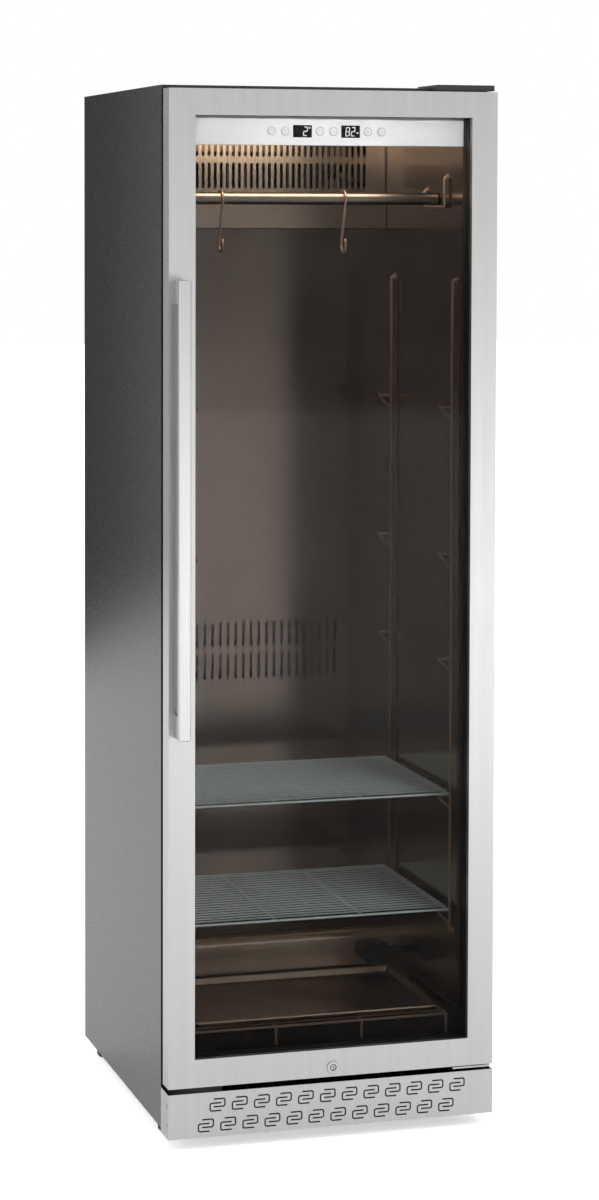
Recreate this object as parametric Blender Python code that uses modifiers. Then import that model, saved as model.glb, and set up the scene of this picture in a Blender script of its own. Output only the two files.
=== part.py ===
"""Dry aging cabinet: an insulated steel case with a glass door, wire shelves and a hanging rail.

Metres, +Z up. The door faces -Y. The origin lies on the floor under the middle of the cabinet.
"""

from math import asin, cos, degrees, pi, radians, sin, tan

import bmesh
import bpy
from mathutils import Matrix, Vector

PARTS = "dry_aging_cabinet"
HELPERS = "cutters"

# Clearances shared by all pieces
GAP = 0.0003
OVERRUN = 0.005
WELD = 0.00001

# Outside of the cabinet
WIDTH = 0.595
FLOOR_CLEARANCE = 0.022
KICK_HEIGHT = 0.0787
DOOR_GAP = 0.0098
DOOR_HEIGHT = 1.7268
CASE_OVER_DOOR = 0.0072
CASE_BOTTOM = 0.0285
HANDLE_REACH = 0.042
DOOR_THICKNESS = 0.040
SEAL_GAP = 0.0144
CASE_DEPTH = 0.6104
SHEET = 0.001
BASE_SHEET = 0.002

HALF = WIDTH / 2
KICK_TOP = FLOOR_CLEARANCE + KICK_HEIGHT
DOOR_BOTTOM = KICK_TOP + DOOR_GAP
DOOR_TOP = DOOR_BOTTOM + DOOR_HEIGHT
CASE_TOP = DOOR_TOP + CASE_OVER_DOOR
DEPTH = HANDLE_REACH + DOOR_THICKNESS + SEAL_GAP + CASE_DEPTH
HANDLE_FRONT = -DEPTH / 2
DOOR_FRONT = HANDLE_FRONT + HANDLE_REACH
DOOR_BACK = DOOR_FRONT + DOOR_THICKNESS
CASE_FRONT = DOOR_BACK + SEAL_GAP
CASE_BACK = CASE_FRONT + CASE_DEPTH
BODY_HALF = HALF - SHEET - GAP
BODY_TOP = CASE_TOP - SHEET - GAP
BASE_TOP = CASE_BOTTOM + BASE_SHEET

# Back panel, set in from the rear edge of the case
PANEL_INSET = 0.003
PANEL_SHEET = 0.0012
PANEL_BACK = CASE_BACK - PANEL_INSET
PANEL_FRONT = PANEL_BACK - PANEL_SHEET
VENT_MARGIN = 0.185
VENT_PITCH = 0.020
VENT_WIDTH = 0.007
VENT_HEIGHT = 0.080
VENT_RISE = 0.0995
GLAND_INSET = 0.0975
GLAND_RISE = 0.0495
GLAND_NECK = 0.008
GLAND_FLANGE = 0.012
GLAND_FLANGE_THICKNESS = 0.0022
GLAND_BORE = 0.0042
GLAND_LENGTH = 0.016
VENT_LINE = BASE_TOP + VENT_RISE
GLAND_X = GLAND_INSET - HALF
GLAND_Z = BASE_TOP + GLAND_RISE

# Cavity
FRAME_DEPTH = 0.008
WALL = 0.042
TOP_WALL = 0.045
REAR_THICKNESS = 0.0964
FLOOR_RISE = 0.0395
FOAM_UNDER_FLOOR = 0.045
INNER_HALF = HALF - WALL
CAVITY_FLOOR = DOOR_BOTTOM + FLOOR_RISE
CEILING = CASE_TOP - TOP_WALL
REAR_WALL = CASE_BACK - REAR_THICKNESS
FRAME_BACK = CASE_FRONT + FRAME_DEPTH
FOAM_BOTTOM = CAVITY_FLOOR - FOAM_UNDER_FLOOR

# Step over the compressor, at the rear of the cavity floor
STEP_DEPTH = 0.1734
STEP_HEIGHT = 0.122
STEP_BEND_RUN = 0.025
STEP_BEND_DROP = 0.018
STEP_FRONT = REAR_WALL - STEP_DEPTH
STEP_TOP = CAVITY_FLOOR + STEP_HEIGHT
MACHINE_FRONT = STEP_FRONT + WALL
MACHINE_TOP = STEP_TOP - WALL

# Air duct in the rear wall, behind the duct panel
DUCT_DEPTH = 0.035
DUCT_HEIGHT = 0.565
DUCT_LAP = 0.010
DUCT_SHEET = 0.001
DUCT_SLOT_MARGIN = 0.077
DUCT_PITCH = 0.01535
DUCT_SLOT_WIDTH = 0.0058
DUCT_SLOT_HEIGHT = 0.0510
DUCT_ROW_DROP = 0.0835
DUCT_ROW_RISE = 0.0626
DUCT_TOP = STEP_TOP + DUCT_HEIGHT
DUCT_LOW_ROW = DUCT_TOP - DUCT_ROW_DROP

# Evaporator behind its slotted cover
COVER_SHEET = 0.001
COVER_HEIGHT = 0.204
COVER_DEPTH = 0.0684
BAND_HEIGHT = 0.0455
BAND_PROUD = 0.004
COVER_SLOT_MARGIN = 0.042
COVER_PITCH = 0.01178
COVER_SLOT_WIDTH = 0.006
COVER_SLOT_HEIGHT = 0.0497
COVER_FIRST_ROW = 0.09875
COVER_ROW_RISE = 0.0599
COVER_FRONT = REAR_WALL - COVER_DEPTH
COVER_BOTTOM = CEILING - COVER_HEIGHT
COVER_LOW_ROW = COVER_BOTTOM + COVER_FIRST_ROW
COIL_LEFT_GAP = 0.0655
COIL_RIGHT_GAP = 0.1355
COIL_RISE = 0.0245
COIL_HEIGHT = 0.120
COIL_DEPTH = 0.045
COIL_SPINE = 0.004
COIL_FINS = 19
COIL_FIN_THICKNESS = 0.003
EVAPORATOR_FAN_INSET = 0.0705
EVAPORATOR_FAN_RADIUS = 0.038
EVAPORATOR_MOTOR_RADIUS = 0.022
EVAPORATOR_MOTOR_LENGTH = 0.024
COIL_LEFT = COIL_LEFT_GAP - INNER_HALF
COIL_RIGHT = INNER_HALF - COIL_RIGHT_GAP
COIL_BOTTOM = COVER_BOTTOM + COIL_RISE
COIL_TOP = COIL_BOTTOM + COIL_HEIGHT
EVAPORATOR_FAN_X = INNER_HALF - EVAPORATOR_FAN_INSET
EVAPORATOR_FAN_Z = (COIL_BOTTOM + COIL_TOP) / 2

# Fans
FAN_BLADES = 5
FAN_HUB = 0.012
FAN_DEPTH = 0.012
BLADE_THICKNESS = 0.0016
BLADE_WIDTH = 0.012
BLADE_ROOT = 0.002
BLADE_TWIST = 35
SHAFT_RADIUS = 0.0025
SHAFT_LENGTH = 0.010
SHAFT_CLEARANCE = 0.001

# Compressor and condenser
COMPRESSOR_RADIUS = 0.072
COMPRESSOR_HEIGHT = 0.158
COMPRESSOR_X = 0.110
COMPRESSOR_INSET = 0.1084
COMPRESSOR_FLANGE = 0.082
COMPRESSOR_FLANGE_THICKNESS = 0.004
COMPRESSOR_SHOULDER = 0.040
COMPRESSOR_SEAM = 0.003
COMPRESSOR_SEAM_HEIGHT = 0.085
CONDENSER_LEFT_INSET = 0.1275
CONDENSER_RIGHT_INSET = 0.1675
CONDENSER_SETBACK = 0.022
CONDENSER_DEPTH = 0.040
CONDENSER_HEIGHT = 0.066
CONDENSER_SPINE = 0.004
CONDENSER_FINS = 19
CONDENSER_FIN_THICKNESS = 0.003
CONDENSER_FAN_SPACE = 0.012
CONDENSER_FAN_RADIUS = 0.031
CONDENSER_MOTOR_RADIUS = 0.020
CONDENSER_MOTOR_LENGTH = 0.030
MOTOR_POST_WIDTH = 0.020
COMPRESSOR_Y = CASE_BACK - COMPRESSOR_INSET
CONDENSER_LEFT = CONDENSER_LEFT_INSET - HALF
CONDENSER_RIGHT = HALF - CONDENSER_RIGHT_INSET
CONDENSER_FRONT = CASE_FRONT + CONDENSER_SETBACK
CONDENSER_FAN_X = (CONDENSER_LEFT + CONDENSER_RIGHT) / 2

# Feet
FOOT_RADIUS = 0.020
FOOT_SOLE = 0.016
FOOT_HEIGHT = 0.020
FOOT_STUD = 0.004
FOOT_STUD_RISE = 0.0175
FOOT_NUT = 0.0075
FOOT_NUT_HEIGHT = 0.0055
FOOT_CLEARANCE = 0.0008
FOOT_SIDE_INSET = 0.033
FOOT_FRONT_INSET = 0.074
FOOT_REAR_INSET = 0.0474
FOOT_X = HALF - FOOT_SIDE_INSET
FOOT_FRONT = CASE_FRONT + FOOT_FRONT_INSET
FOOT_REAR = CASE_BACK - FOOT_REAR_INSET
FOOT_STUD_TOP = BASE_TOP + FOOT_STUD_RISE

# Slots of the kick plate, a band of meanders in two rows
KICK_SHEET = 0.0012
MEANDER_PITCH = 0.04006
MEANDER_WIDTH = 0.0284
MEANDER_HEIGHT = 0.0226
HOOK_WIDTH = 0.0208
HOOK_HEIGHT = 0.0154
STROKE = 0.0018
STROKE_CHAMFER = 0.0021
FIRST_MEANDER_INSET = 0.067
LAST_MEANDER_MARGIN = 0.060
ROW_SHIFT = 0.0208
UPPER_ROW_HEIGHT = 0.0558
LOWER_ROW_HEIGHT = 0.021
LOWER_ROW_X = FIRST_MEANDER_INSET - HALF
UPPER_ROW_X = LOWER_ROW_X + ROW_SHIFT

# Control panel at the top of the cavity
PANEL_SIDE_GAP = 0.001
PANEL_DEPTH = 0.030
PANEL_HEIGHT = 0.0562
CONTROL_SETBACK = 0.0006
CONTROL_LINE = 0.0322
DISPLAY_X = 0.044
DISPLAY_WIDTH = 0.034
DISPLAY_HEIGHT = 0.0216
DISPLAY_THICKNESS = 0.0017
DISPLAY_POCKET = 0.002
BUTTON_GROUP = 0.088
BUTTON_SPREAD = 0.0124
BUTTON_RADIUS = 0.0065
BUTTON_PROUD = 0.0012
BUTTON_LENGTH = 0.0035
BUTTON_EDGE = 0.0004
BUTTON_POCKET = 0.0042
CONTROL_FRONT = CASE_FRONT + CONTROL_SETBACK
CONTROL_TOP = CEILING - GAP
CONTROL_BOTTOM = CONTROL_TOP - PANEL_HEIGHT
CONTROL_CENTRE = CONTROL_TOP - CONTROL_LINE

# Light bar under the ceiling
LIGHT_END_GAP = 0.0555
LIGHT_SETBACK = 0.052
LIGHT_TOP_WIDTH = 0.020
LIGHT_FACE_WIDTH = 0.014
LIGHT_DROP = 0.0075
LIGHT_HALF = INNER_HALF - LIGHT_END_GAP
LIGHT_Y = CASE_FRONT + LIGHT_SETBACK

# Hanging rail, its wire brackets and hooks
BRACKET_WIRE = 0.0025
BRACKET_OFF_WALL = 0.006
BRACKET_SETBACK = 0.0886
BRACKET_LENGTH = 0.111
BRACKET_DROP = 0.163
BRACKET_FRONT_RISE = 0.0535
BRACKET_REAR_RISE = 0.0312
BRACKET_FRONT = CASE_FRONT + BRACKET_SETBACK
BRACKET_REAR = BRACKET_FRONT + BRACKET_LENGTH
BRACKET_BASE = CEILING - BRACKET_DROP
BRACKET_FRONT_TOP = BRACKET_BASE + BRACKET_FRONT_RISE
BRACKET_REAR_TOP = BRACKET_BASE + BRACKET_REAR_RISE
WIRE_BEND = 0.005
RAIL_RADIUS = 0.011
RAIL_END_GAP = 0.0015
RAIL_CHAMFER = 0.001
RAIL_Y = (BRACKET_FRONT + BRACKET_REAR) / 2
RAIL_Z = BRACKET_BASE + BRACKET_WIRE + GAP + RAIL_RADIUS
HOOK_WIRE = 0.0025
HOOK_DROP = 0.082
HOOK_BOWL = RAIL_RADIUS + GAP + HOOK_WIRE
HOOK_LEFT_X = -0.1525
HOOK_RIGHT_X = 0.0764
HOOK_TIP = 40

# Shelf supports on the side walls
SUPPORT_WIRE = 0.0025
SUPPORT_OFF_WALL = 0.008
SUPPORT_OFF_FLOOR = 0.182
SUPPORT_DROP = 0.2945
SUPPORT_SETBACK = 0.0376
SUPPORT_OFF_REAR = 0.1284
ARM_WIRE = 0.002
ARM_REACH = 0.026
ARM_BRACE = 0.024
FREE_ARM_SHARES = (0.8065, 0.5814, 0.4211)
SUPPORT_BOTTOM = CAVITY_FLOOR + SUPPORT_OFF_FLOOR
SUPPORT_TOP = CEILING - SUPPORT_DROP
SUPPORT_FRONT = CASE_FRONT + SUPPORT_SETBACK
SUPPORT_REAR = REAR_WALL - SUPPORT_OFF_REAR

# Wire shelves
SHELF_SIDE_GAP = 0.013
SHELF_SETBACK = 0.0306
SHELF_OFF_REAR = 0.1084
SHELF_WIRE = 0.00175
SHELF_WIRES = 20
SHELF_WIRE_INSET = 0.012
CROSS_WIRE = 0.0025
CROSS_WIRES = 4
CROSS_INSET = 0.0035
CROSS_DROP = 0.0033
EDGE_RISE = 0.0004
WIRE_LAP = 0.0009
UPPER_SHELF_RISE = 0.436
LOWER_SHELF_RISE = 0.226
SHELF_HALF = INNER_HALF - SHELF_SIDE_GAP
SHELF_FRONT = CASE_FRONT + SHELF_SETBACK
SHELF_REAR = REAR_WALL - SHELF_OFF_REAR
UPPER_SHELF = CAVITY_FLOOR + UPPER_SHELF_RISE
LOWER_SHELF = CAVITY_FLOOR + LOWER_SHELF_RISE

# Tray and the rack that it lies on
RACK_TRAY_STEP = 0.0021
RACK_WIRES = 9
RACK_RISE = 0.036
RACK_LEG_INSET = 0.001
TRAY_SIDE_INSET = 0.0125
TRAY_REAR_GAP = 0.0115
TRAY_DEPTH = 0.011
TRAY_SLOPE = 0.012
TRAY_RIM = 0.010
TRAY_SHEET = 0.001
TRAY_HALF = SHELF_HALF - TRAY_SIDE_INSET
TRAY_FRONT = SHELF_FRONT
TRAY_REAR = STEP_FRONT - TRAY_REAR_GAP
RACK_TOP = CAVITY_FLOOR + RACK_RISE
RACK_REAR = TRAY_REAR - RACK_TRAY_STEP

# Drain outlet on the step
DRAIN_INSET = 0.083
DRAIN_WIDTH = 0.048
DRAIN_RISE = 0.060
DRAIN_HEIGHT = 0.035
DRAIN_DEPTH = 0.029
DRAIN_CHAMFER = 0.008
DRAIN_ARM_RISE = 0.010
DRAIN_ARM_HEIGHT = 0.010
DRAIN_ARM_DEPTH = 0.012
DRAIN_LEFT = INNER_HALF - DRAIN_INSET
DRAIN_BOTTOM = CAVITY_FLOOR + DRAIN_RISE
DRAIN_ARM_BOTTOM = DRAIN_BOTTOM + DRAIN_ARM_RISE

# Door
SKIN = 0.0012
STILE = 0.047
TOP_RAIL = 0.0453
BOTTOM_RAIL = 0.049
REVEAL = 0.012
PANE = 0.004
PANE_SPACE = 0.012
GLASS_LAP = 0.010
GASKET_INSET = 0.003
GASKET_WIDTH = 0.014
WINDOW_HALF = HALF - STILE
WINDOW_BOTTOM = DOOR_BOTTOM + BOTTOM_RAIL
WINDOW_TOP = DOOR_TOP - TOP_RAIL
PANE_FRONT = DOOR_FRONT + REVEAL + GAP
SPACER_FRONT = PANE_FRONT + PANE + GAP
INNER_PANE_FRONT = SPACER_FRONT + PANE_SPACE + GAP
LIP_FRONT = INNER_PANE_FRONT + PANE + GAP

# Door handle
HANDLE_INSET = 0.0185
HANDLE_WIDTH = 0.021
HANDLE_DEPTH = 0.012
HANDLE_RISE = 0.6125
HANDLE_LENGTH = 0.787
HANDLE_EDGE = 0.001
POST_WIDTH = 0.016
POST_HEIGHT = 0.040
HANDLE_X = HANDLE_INSET - HALF
HANDLE_BOTTOM = DOOR_BOTTOM + HANDLE_RISE

# Lock at the foot of the door
LOCK_RISE = 0.0165
LOCK_FLANGE = 0.011
LOCK_PROUD = 0.0022
LOCK_CHAMFER = 0.0006
LOCK_BODY = 0.0085
LOCK_BODY_LENGTH = 0.038
CORE_RADIUS = 0.00425
CORE_PROUD = 0.0016
CORE_NECK = 0.0033
KEYWAY_WIDTH = 0.0014
KEYWAY_LENGTH = 0.0048
KEYWAY_DEPTH = 0.004
CAM_LENGTH = 0.015
CAM_HEIGHT = 0.005
CAM_THICKNESS = 0.002
CAM_BEHIND_DOOR = 0.0034
KEEPER_SHEET = 0.0016
KEEPER_WIDTH = 0.024
KEEPER_RISE = 0.0015
KEEPER_HEIGHT = 0.0115
KEEPER_CLEARANCE = 0.0006
LOCK_Z = DOOR_BOTTOM + LOCK_RISE

# Hinges of the door
HINGE_INSET = 0.010
PIN_RADIUS = 0.004
PIN_CLEARANCE = 0.0005
PIN_DEPTH = 0.018
TOP_HINGE_INSET = 0.002
TOP_HINGE_LENGTH = 0.1055
BRACKET_NOSE = 0.0086
BRACKET_OVER_DOOR = 0.0022
BRACKET_HEIGHT = 0.010
BRACKET_TAIL = 0.067
BRACKET_SKIN = 0.0018
PLATE_INSET = 0.0025
PLATE_LENGTH = 0.0705
PLATE_RISE = 0.0035
PLATE_SHEET = 0.003
PLATE_NOSE = 0.0146
PLATE_FLANGE = 0.0205
COLLAR_RADIUS = 0.0065
HINGE_X = HALF - HINGE_INSET
HINGE_Y = (DOOR_FRONT + DOOR_BACK) / 2
TOP_HINGE_RIGHT = HALF - TOP_HINGE_INSET
TOP_HINGE_LEFT = TOP_HINGE_RIGHT - TOP_HINGE_LENGTH
PLATE_RIGHT = HALF - PLATE_INSET
PLATE_LEFT = PLATE_RIGHT - PLATE_LENGTH

# Steps of round forms
WIRE_SIDES = 6
THIN_WIRE_SIDES = 4
ARM_SIDES = 4
RAIL_SIDES = 24
TURN_STEPS = 20
SMALL_TURN_STEPS = 12
BEND_STEPS = 3
BOWL_STEPS = 11

# Linear colour, metallic and roughness of each finish
FINISHES = {
    "painted_steel": ((0.085, 0.085, 0.088), 0.4, 0.45),
    "brushed_steel": ((0.62, 0.62, 0.62), 1.0, 0.32),
    "liner_steel": ((0.45, 0.43, 0.41), 1.0, 0.22),
    "zinc_steel": ((0.50, 0.51, 0.52), 1.0, 0.45),
    "polished_steel": ((0.60, 0.60, 0.60), 1.0, 0.12),
    "aluminium": ((0.55, 0.55, 0.56), 1.0, 0.38),
    "black_plastic": ((0.012, 0.012, 0.013), 0.0, 0.45),
    "panel_plastic": ((0.78, 0.79, 0.80), 0.0, 0.35),
    "display": ((0.004, 0.004, 0.005), 0.0, 0.08),
    "black_enamel": ((0.010, 0.010, 0.010), 0.0, 0.30),
    "rubber": ((0.020, 0.020, 0.021), 0.0, 0.75),
    "foam": ((0.72, 0.66, 0.45), 0.0, 0.90),
    "light_cover": ((0.90, 0.90, 0.86), 0.0, 0.25),
    "glass": ((0.93, 0.95, 0.94), 0.0, 0.03),
}

# Local plane (u, v) and its normal, turned to each world axis
FACING = {
    "X": Matrix(((0, 0, 1, 0), (1, 0, 0, 0), (0, 1, 0, 0), (0, 0, 0, 1))),
    "Y": Matrix.Rotation(pi / 2, 4, "X"),
    "Z": Matrix.Identity(4),
}
WORLD_AXIS = {"X": Vector((1, 0, 0)), "Y": Vector((0, 1, 0)), "Z": Vector((0, 0, 1))}


def clear_scene():
    """Remove what the start-up scene holds."""
    for obj in list(bpy.data.objects):
        bpy.data.objects.remove(obj, do_unlink=True)


def new_collection(name, hidden):
    """A collection under the scene's own."""
    collection = bpy.data.collections.new(name)
    collection.hide_render = hidden
    bpy.context.scene.collection.children.link(collection)


def new_material(name, finish):
    """The material of one sub-part, in one of the finishes."""
    colour, metallic, roughness = FINISHES[finish]
    material = bpy.data.materials.new(f"{name}_{finish}")
    material.use_nodes = True
    shader = material.node_tree.nodes["Principled BSDF"]
    shader.inputs["Base Color"].default_value = (*colour, 1)
    shader.inputs["Metallic"].default_value = metallic
    shader.inputs["Roughness"].default_value = roughness
    material.diffuse_color = (*colour, 1)
    return material


def add(name, mesh, finish, origin=(0, 0, 0)):
    """One sub-part from a mesh in world places, with its origin where it is given."""
    origin = Vector(origin)
    mesh.transform(Matrix.Translation(-origin))
    mesh.materials.append(new_material(name, finish))
    obj = bpy.data.objects.new(name, mesh)
    obj.location = origin
    bpy.data.collections[PARTS].objects.link(obj)
    return obj


def hang(child, parent):
    """Parent one object to another that has no parent itself, and leave it where it is."""
    child.parent = parent
    child.location -= parent.location


def combine(obj, mesh, operation):
    """Cut a mesh out of a sub-part, or join it on. Done before the sub-part is parented."""
    helper = bpy.data.objects.new(mesh.name, mesh)
    helper.hide_render = True
    helper.display_type = "WIRE"
    helper.parent = obj
    helper.matrix_parent_inverse = Matrix.Translation(-obj.location)
    bpy.data.collections[HELPERS].objects.link(helper)
    modifier = obj.modifiers.new(mesh.name, "BOOLEAN")
    modifier.operation = operation
    modifier.solver = "EXACT"
    modifier.object = helper


def cut(obj, mesh):
    combine(obj, mesh, "DIFFERENCE")


def join(obj, mesh):
    combine(obj, mesh, "UNION")


def thicken(obj, thickness, offset):
    """Make a shell of an open surface, with its full thickness at every corner."""
    sheet = obj.modifiers.new("sheet", "SOLIDIFY")
    sheet.solidify_mode = "NON_MANIFOLD"
    sheet.nonmanifold_thickness_mode = "CONSTRAINTS"
    sheet.thickness = thickness
    sheet.offset = offset


def smooth(obj):
    """Shade a round piece smooth, with its real edges kept sharp."""
    obj.data.shade_smooth()
    obj.data.set_sharp_from_angle(angle=radians(40))


def finished(shape, name):
    """The mesh of a bmesh, its faces turned out."""
    bmesh.ops.recalc_face_normals(shape, faces=shape.faces)
    mesh = bpy.data.meshes.new(name)
    shape.to_mesh(mesh)
    shape.free()
    return mesh


def boxes(name, *blocks):
    """Mesh of boxes, each given by its span along X, Y and Z."""
    shape = bmesh.new()
    for spans in blocks:
        centre = [(low + high) / 2 for low, high in spans]
        size = [high - low for low, high in spans]
        place = Matrix.Translation(centre) @ Matrix.Diagonal((*size, 1))
        bmesh.ops.create_cube(shape, size=1, matrix=place)
    return finished(shape, name)


def rods(name, sides, *runs):
    """Mesh of straight round rods, each given by its two ends and its radius."""
    shape = bmesh.new()
    for start, end, radius in runs:
        along = Vector(end) - Vector(start)
        turn = along.to_track_quat("Z", "Y").to_matrix().to_4x4()
        place = Matrix.Translation((Vector(start) + Vector(end)) / 2) @ turn
        bmesh.ops.create_cone(
            shape, cap_ends=True, segments=sides, radius1=radius, radius2=radius,
            depth=along.length, matrix=place,
        )
    return finished(shape, name)


def evaluated(data, name, prepare=None):
    """The mesh that Blender makes of a curve or of a mesh with a modifier, with its seams welded."""
    guide = bpy.data.objects.new(name, data)
    bpy.context.scene.collection.objects.link(guide)
    if prepare:
        prepare(guide)
    graph = bpy.context.evaluated_depsgraph_get()
    mesh = bpy.data.meshes.new_from_object(guide.evaluated_get(graph))
    bpy.data.objects.remove(guide)
    shape = bmesh.new()
    shape.from_mesh(mesh)
    bpy.data.meshes.remove(mesh)
    bmesh.ops.remove_doubles(shape, verts=shape.verts, dist=WELD)
    return shape


def new_curve(name, dimensions, loops, cyclic):
    """Curve data with one straight-sided spline for each list of points."""
    curve = bpy.data.curves.new(name, "CURVE")
    curve.dimensions = dimensions
    for loop in loops:
        spline = curve.splines.new("POLY")
        spline.points.add(len(loop) - 1)
        for point, place in zip(spline.points, loop):
            point.co = (*Vector(place).to_3d(), 1)
        spline.use_cyclic_u = cyclic
    return curve


def prism(name, axis, span, *loops):
    """Flat outlines, with any holes, drawn across an axis and extruded along it."""
    low, high = span
    curve = new_curve(name, "2D", loops, True)
    curve.fill_mode = "BOTH"
    curve.extrude = (high - low) / 2
    shape = evaluated(curve, name)
    middle = Matrix.Translation(WORLD_AXIS[axis] * (low + high) / 2)
    shape.transform(middle @ FACING[axis])
    return finished(shape, name)


def tubes(name, radius, *paths, sides=WIRE_SIDES):
    """Round wires bent along paths, with closed ends."""
    curve = new_curve(name, "3D", paths, False)
    curve.fill_mode = "FULL"
    curve.bevel_depth = radius
    curve.bevel_resolution = (sides - 4) // 2
    curve.use_fill_caps = True
    return finished(evaluated(curve, name), name)


def turned(name, profile, place, steps=TURN_STEPS, ring=False):
    """Turn a profile of (radius, height) points, from top to bottom, about Z, then place it."""
    count = len(profile)
    edges = [(i, i + 1) for i in range(count - 1)]
    if ring:
        edges.append((count - 1, 0))
    mesh = bpy.data.meshes.new(name)
    mesh.from_pydata([(radius, 0, height) for radius, height in profile], edges, [])

    def spin(guide):
        screw = guide.modifiers.new("turn", "SCREW")
        screw.steps = steps
        screw.render_steps = steps
        screw.use_merge_vertices = True
        screw.merge_threshold = WELD

    shape = evaluated(mesh, name, spin)
    shape.transform(place)
    return finished(shape, name)


def upright(x, y, z):
    """Place of a piece turned about Z."""
    return Matrix.Translation((x, y, z))


def facing_front(x, y, z):
    """Place of a piece turned about Y, its top towards the door."""
    return Matrix.Translation((x, y, z)) @ Matrix.Rotation(pi / 2, 4, "X")


def rectangle(across, up):
    """Outline of a rectangle, anticlockwise."""
    left, right = across
    low, high = up
    return [(left, low), (right, low), (right, high), (left, high)]


def circle(u, v, radius, steps=SMALL_TURN_STEPS):
    """Outline of a circle, anticlockwise."""
    angles = [2 * pi * step / steps for step in range(steps)]
    return [(u + radius * cos(angle), v + radius * sin(angle)) for angle in angles]


def slot(u, v, width, height):
    """Outline of an upright slot with drawn-in ends."""
    side = width / 2
    end = height / 2
    straight = end - side
    return [
        (u, v - end), (u + side, v - straight), (u + side, v + straight),
        (u, v + end), (u - side, v + straight), (u - side, v - straight),
    ]


def slot_row(reach, pitch, height, width, length):
    """Outlines of as many slots as fit within a reach to each side of the cabinet's middle."""
    steps = int(2 * reach / pitch)
    first = -steps * pitch / 2
    return [slot(first + step * pitch, height, width, length) for step in range(steps + 1)]


def grown(loop, distance):
    """A closed anticlockwise outline moved outwards, or inwards if the distance is negative."""
    return moved_aside([Vector(point) for point in loop], distance, True)


def moved_aside(path, distance, closed=False):
    """A path moved to its right, its corners mitred."""
    path = [Vector(point) for point in path]
    count = len(path)
    aside = []
    for step, point in enumerate(path):
        first = step == 0 and not closed
        last = step == count - 1 and not closed
        ahead = (path[(step + 1) % count] - point).normalized()
        behind = (point - path[step - 1]).normalized()
        before = ahead if first else behind
        after = behind if last else ahead
        normal = Vector((before.y + after.y, -before.x - after.x))
        aside.append(point + normal * distance / (1 + before.dot(after)))
    return aside


def folded(path, thickness):
    """Closed outline of a folded sheet that lies to the right of a path."""
    return list(path) + moved_aside(path, thickness)[::-1]


def stroke(path, width):
    """Closed outline of a line of some width along a path."""
    return moved_aside(path, -width / 2) + moved_aside(path, width / 2)[::-1]


def rounded(path, radius, steps=BEND_STEPS):
    """A path with each of its inner corners turned into an arc."""
    path = [Vector(point) for point in path]
    bent = [path[0]]
    for before, corner, after in zip(path, path[1:], path[2:]):
        back = (before - corner).normalized()
        ahead = (after - corner).normalized()
        half = back.angle(ahead) / 2
        centre = corner + (back + ahead).normalized() * radius / sin(half)
        start = (corner + back * radius / tan(half) - centre).normalized()
        end = (corner + ahead * radius / tan(half) - centre).normalized()
        bent += [centre + radius * start.slerp(end, step / steps) for step in range(steps + 1)]
    return bent + [path[-1]]


def liner_profile():
    """Inner side of the cavity in the YZ plane, anticlockwise from the front of the floor."""
    duct_back = REAR_WALL + DUCT_DEPTH
    return [
        (FRAME_BACK + GAP, CAVITY_FLOOR),
        (STEP_FRONT, CAVITY_FLOOR),
        (STEP_FRONT, STEP_TOP - STEP_BEND_DROP),
        (STEP_FRONT + STEP_BEND_RUN, STEP_TOP),
        (duct_back, STEP_TOP),
        (duct_back, DUCT_TOP),
        (REAR_WALL, DUCT_TOP),
        (REAR_WALL, CEILING),
        (FRAME_BACK + GAP, CEILING),
    ]


def add_outer_casing():
    path = [(-HALF, CASE_BOTTOM), (-HALF, CASE_TOP), (HALF, CASE_TOP), (HALF, CASE_BOTTOM)]
    outline = folded(path, SHEET)
    mesh = prism("outer_casing", "Y", (CASE_FRONT, CASE_BACK), outline)
    add("outer_casing", mesh, "painted_steel")


def add_back_panel():
    sheet = rectangle((-BODY_HALF, BODY_HALF), (BASE_TOP + GAP, BODY_TOP))
    vents = slot_row(HALF - VENT_MARGIN, VENT_PITCH, VENT_LINE, VENT_WIDTH, VENT_HEIGHT)
    hole = circle(GLAND_X, GLAND_Z, GLAND_NECK + GAP)
    mesh = prism("back_panel", "Y", (PANEL_FRONT, PANEL_BACK), sheet, hole, *vents)
    add("back_panel", mesh, "zinc_steel")


def add_cord_gland():
    """Strain relief where the supply cord leaves the machine space."""
    flange_front = -GAP
    flange_back = flange_front - GLAND_FLANGE_THICKNESS
    profile = [
        (GLAND_BORE, GLAND_LENGTH),
        (GLAND_NECK, GLAND_LENGTH),
        (GLAND_NECK, flange_front),
        (GLAND_FLANGE, flange_front),
        (GLAND_FLANGE, flange_back),
        (GLAND_BORE, flange_back),
    ]
    place = facing_front(GLAND_X, PANEL_BACK, GLAND_Z)
    mesh = turned("cord_gland", profile, place, SMALL_TURN_STEPS, ring=True)
    smooth(add("cord_gland", mesh, "black_plastic"))


def add_insulation_foam():
    """Foam between case and liner, cut away for the machine space at the lower rear."""
    back = PANEL_FRONT - GAP
    outline = [
        (FRAME_BACK + GAP, FOAM_BOTTOM),
        (MACHINE_FRONT, FOAM_BOTTOM),
        (MACHINE_FRONT, MACHINE_TOP),
        (back, MACHINE_TOP),
        (back, BODY_TOP),
        (FRAME_BACK + GAP, BODY_TOP),
    ]
    foam = add("insulation_foam", prism("foam", "X", (-BODY_HALF, BODY_HALF), outline), "foam")
    around = grown(liner_profile(), SHEET + GAP)
    around[0].x -= OVERRUN
    around[-1].x -= OVERRUN
    reach = INNER_HALF + SHEET + GAP
    cut(foam, prism("foam_cavity", "X", (-reach, reach), around))


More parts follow.
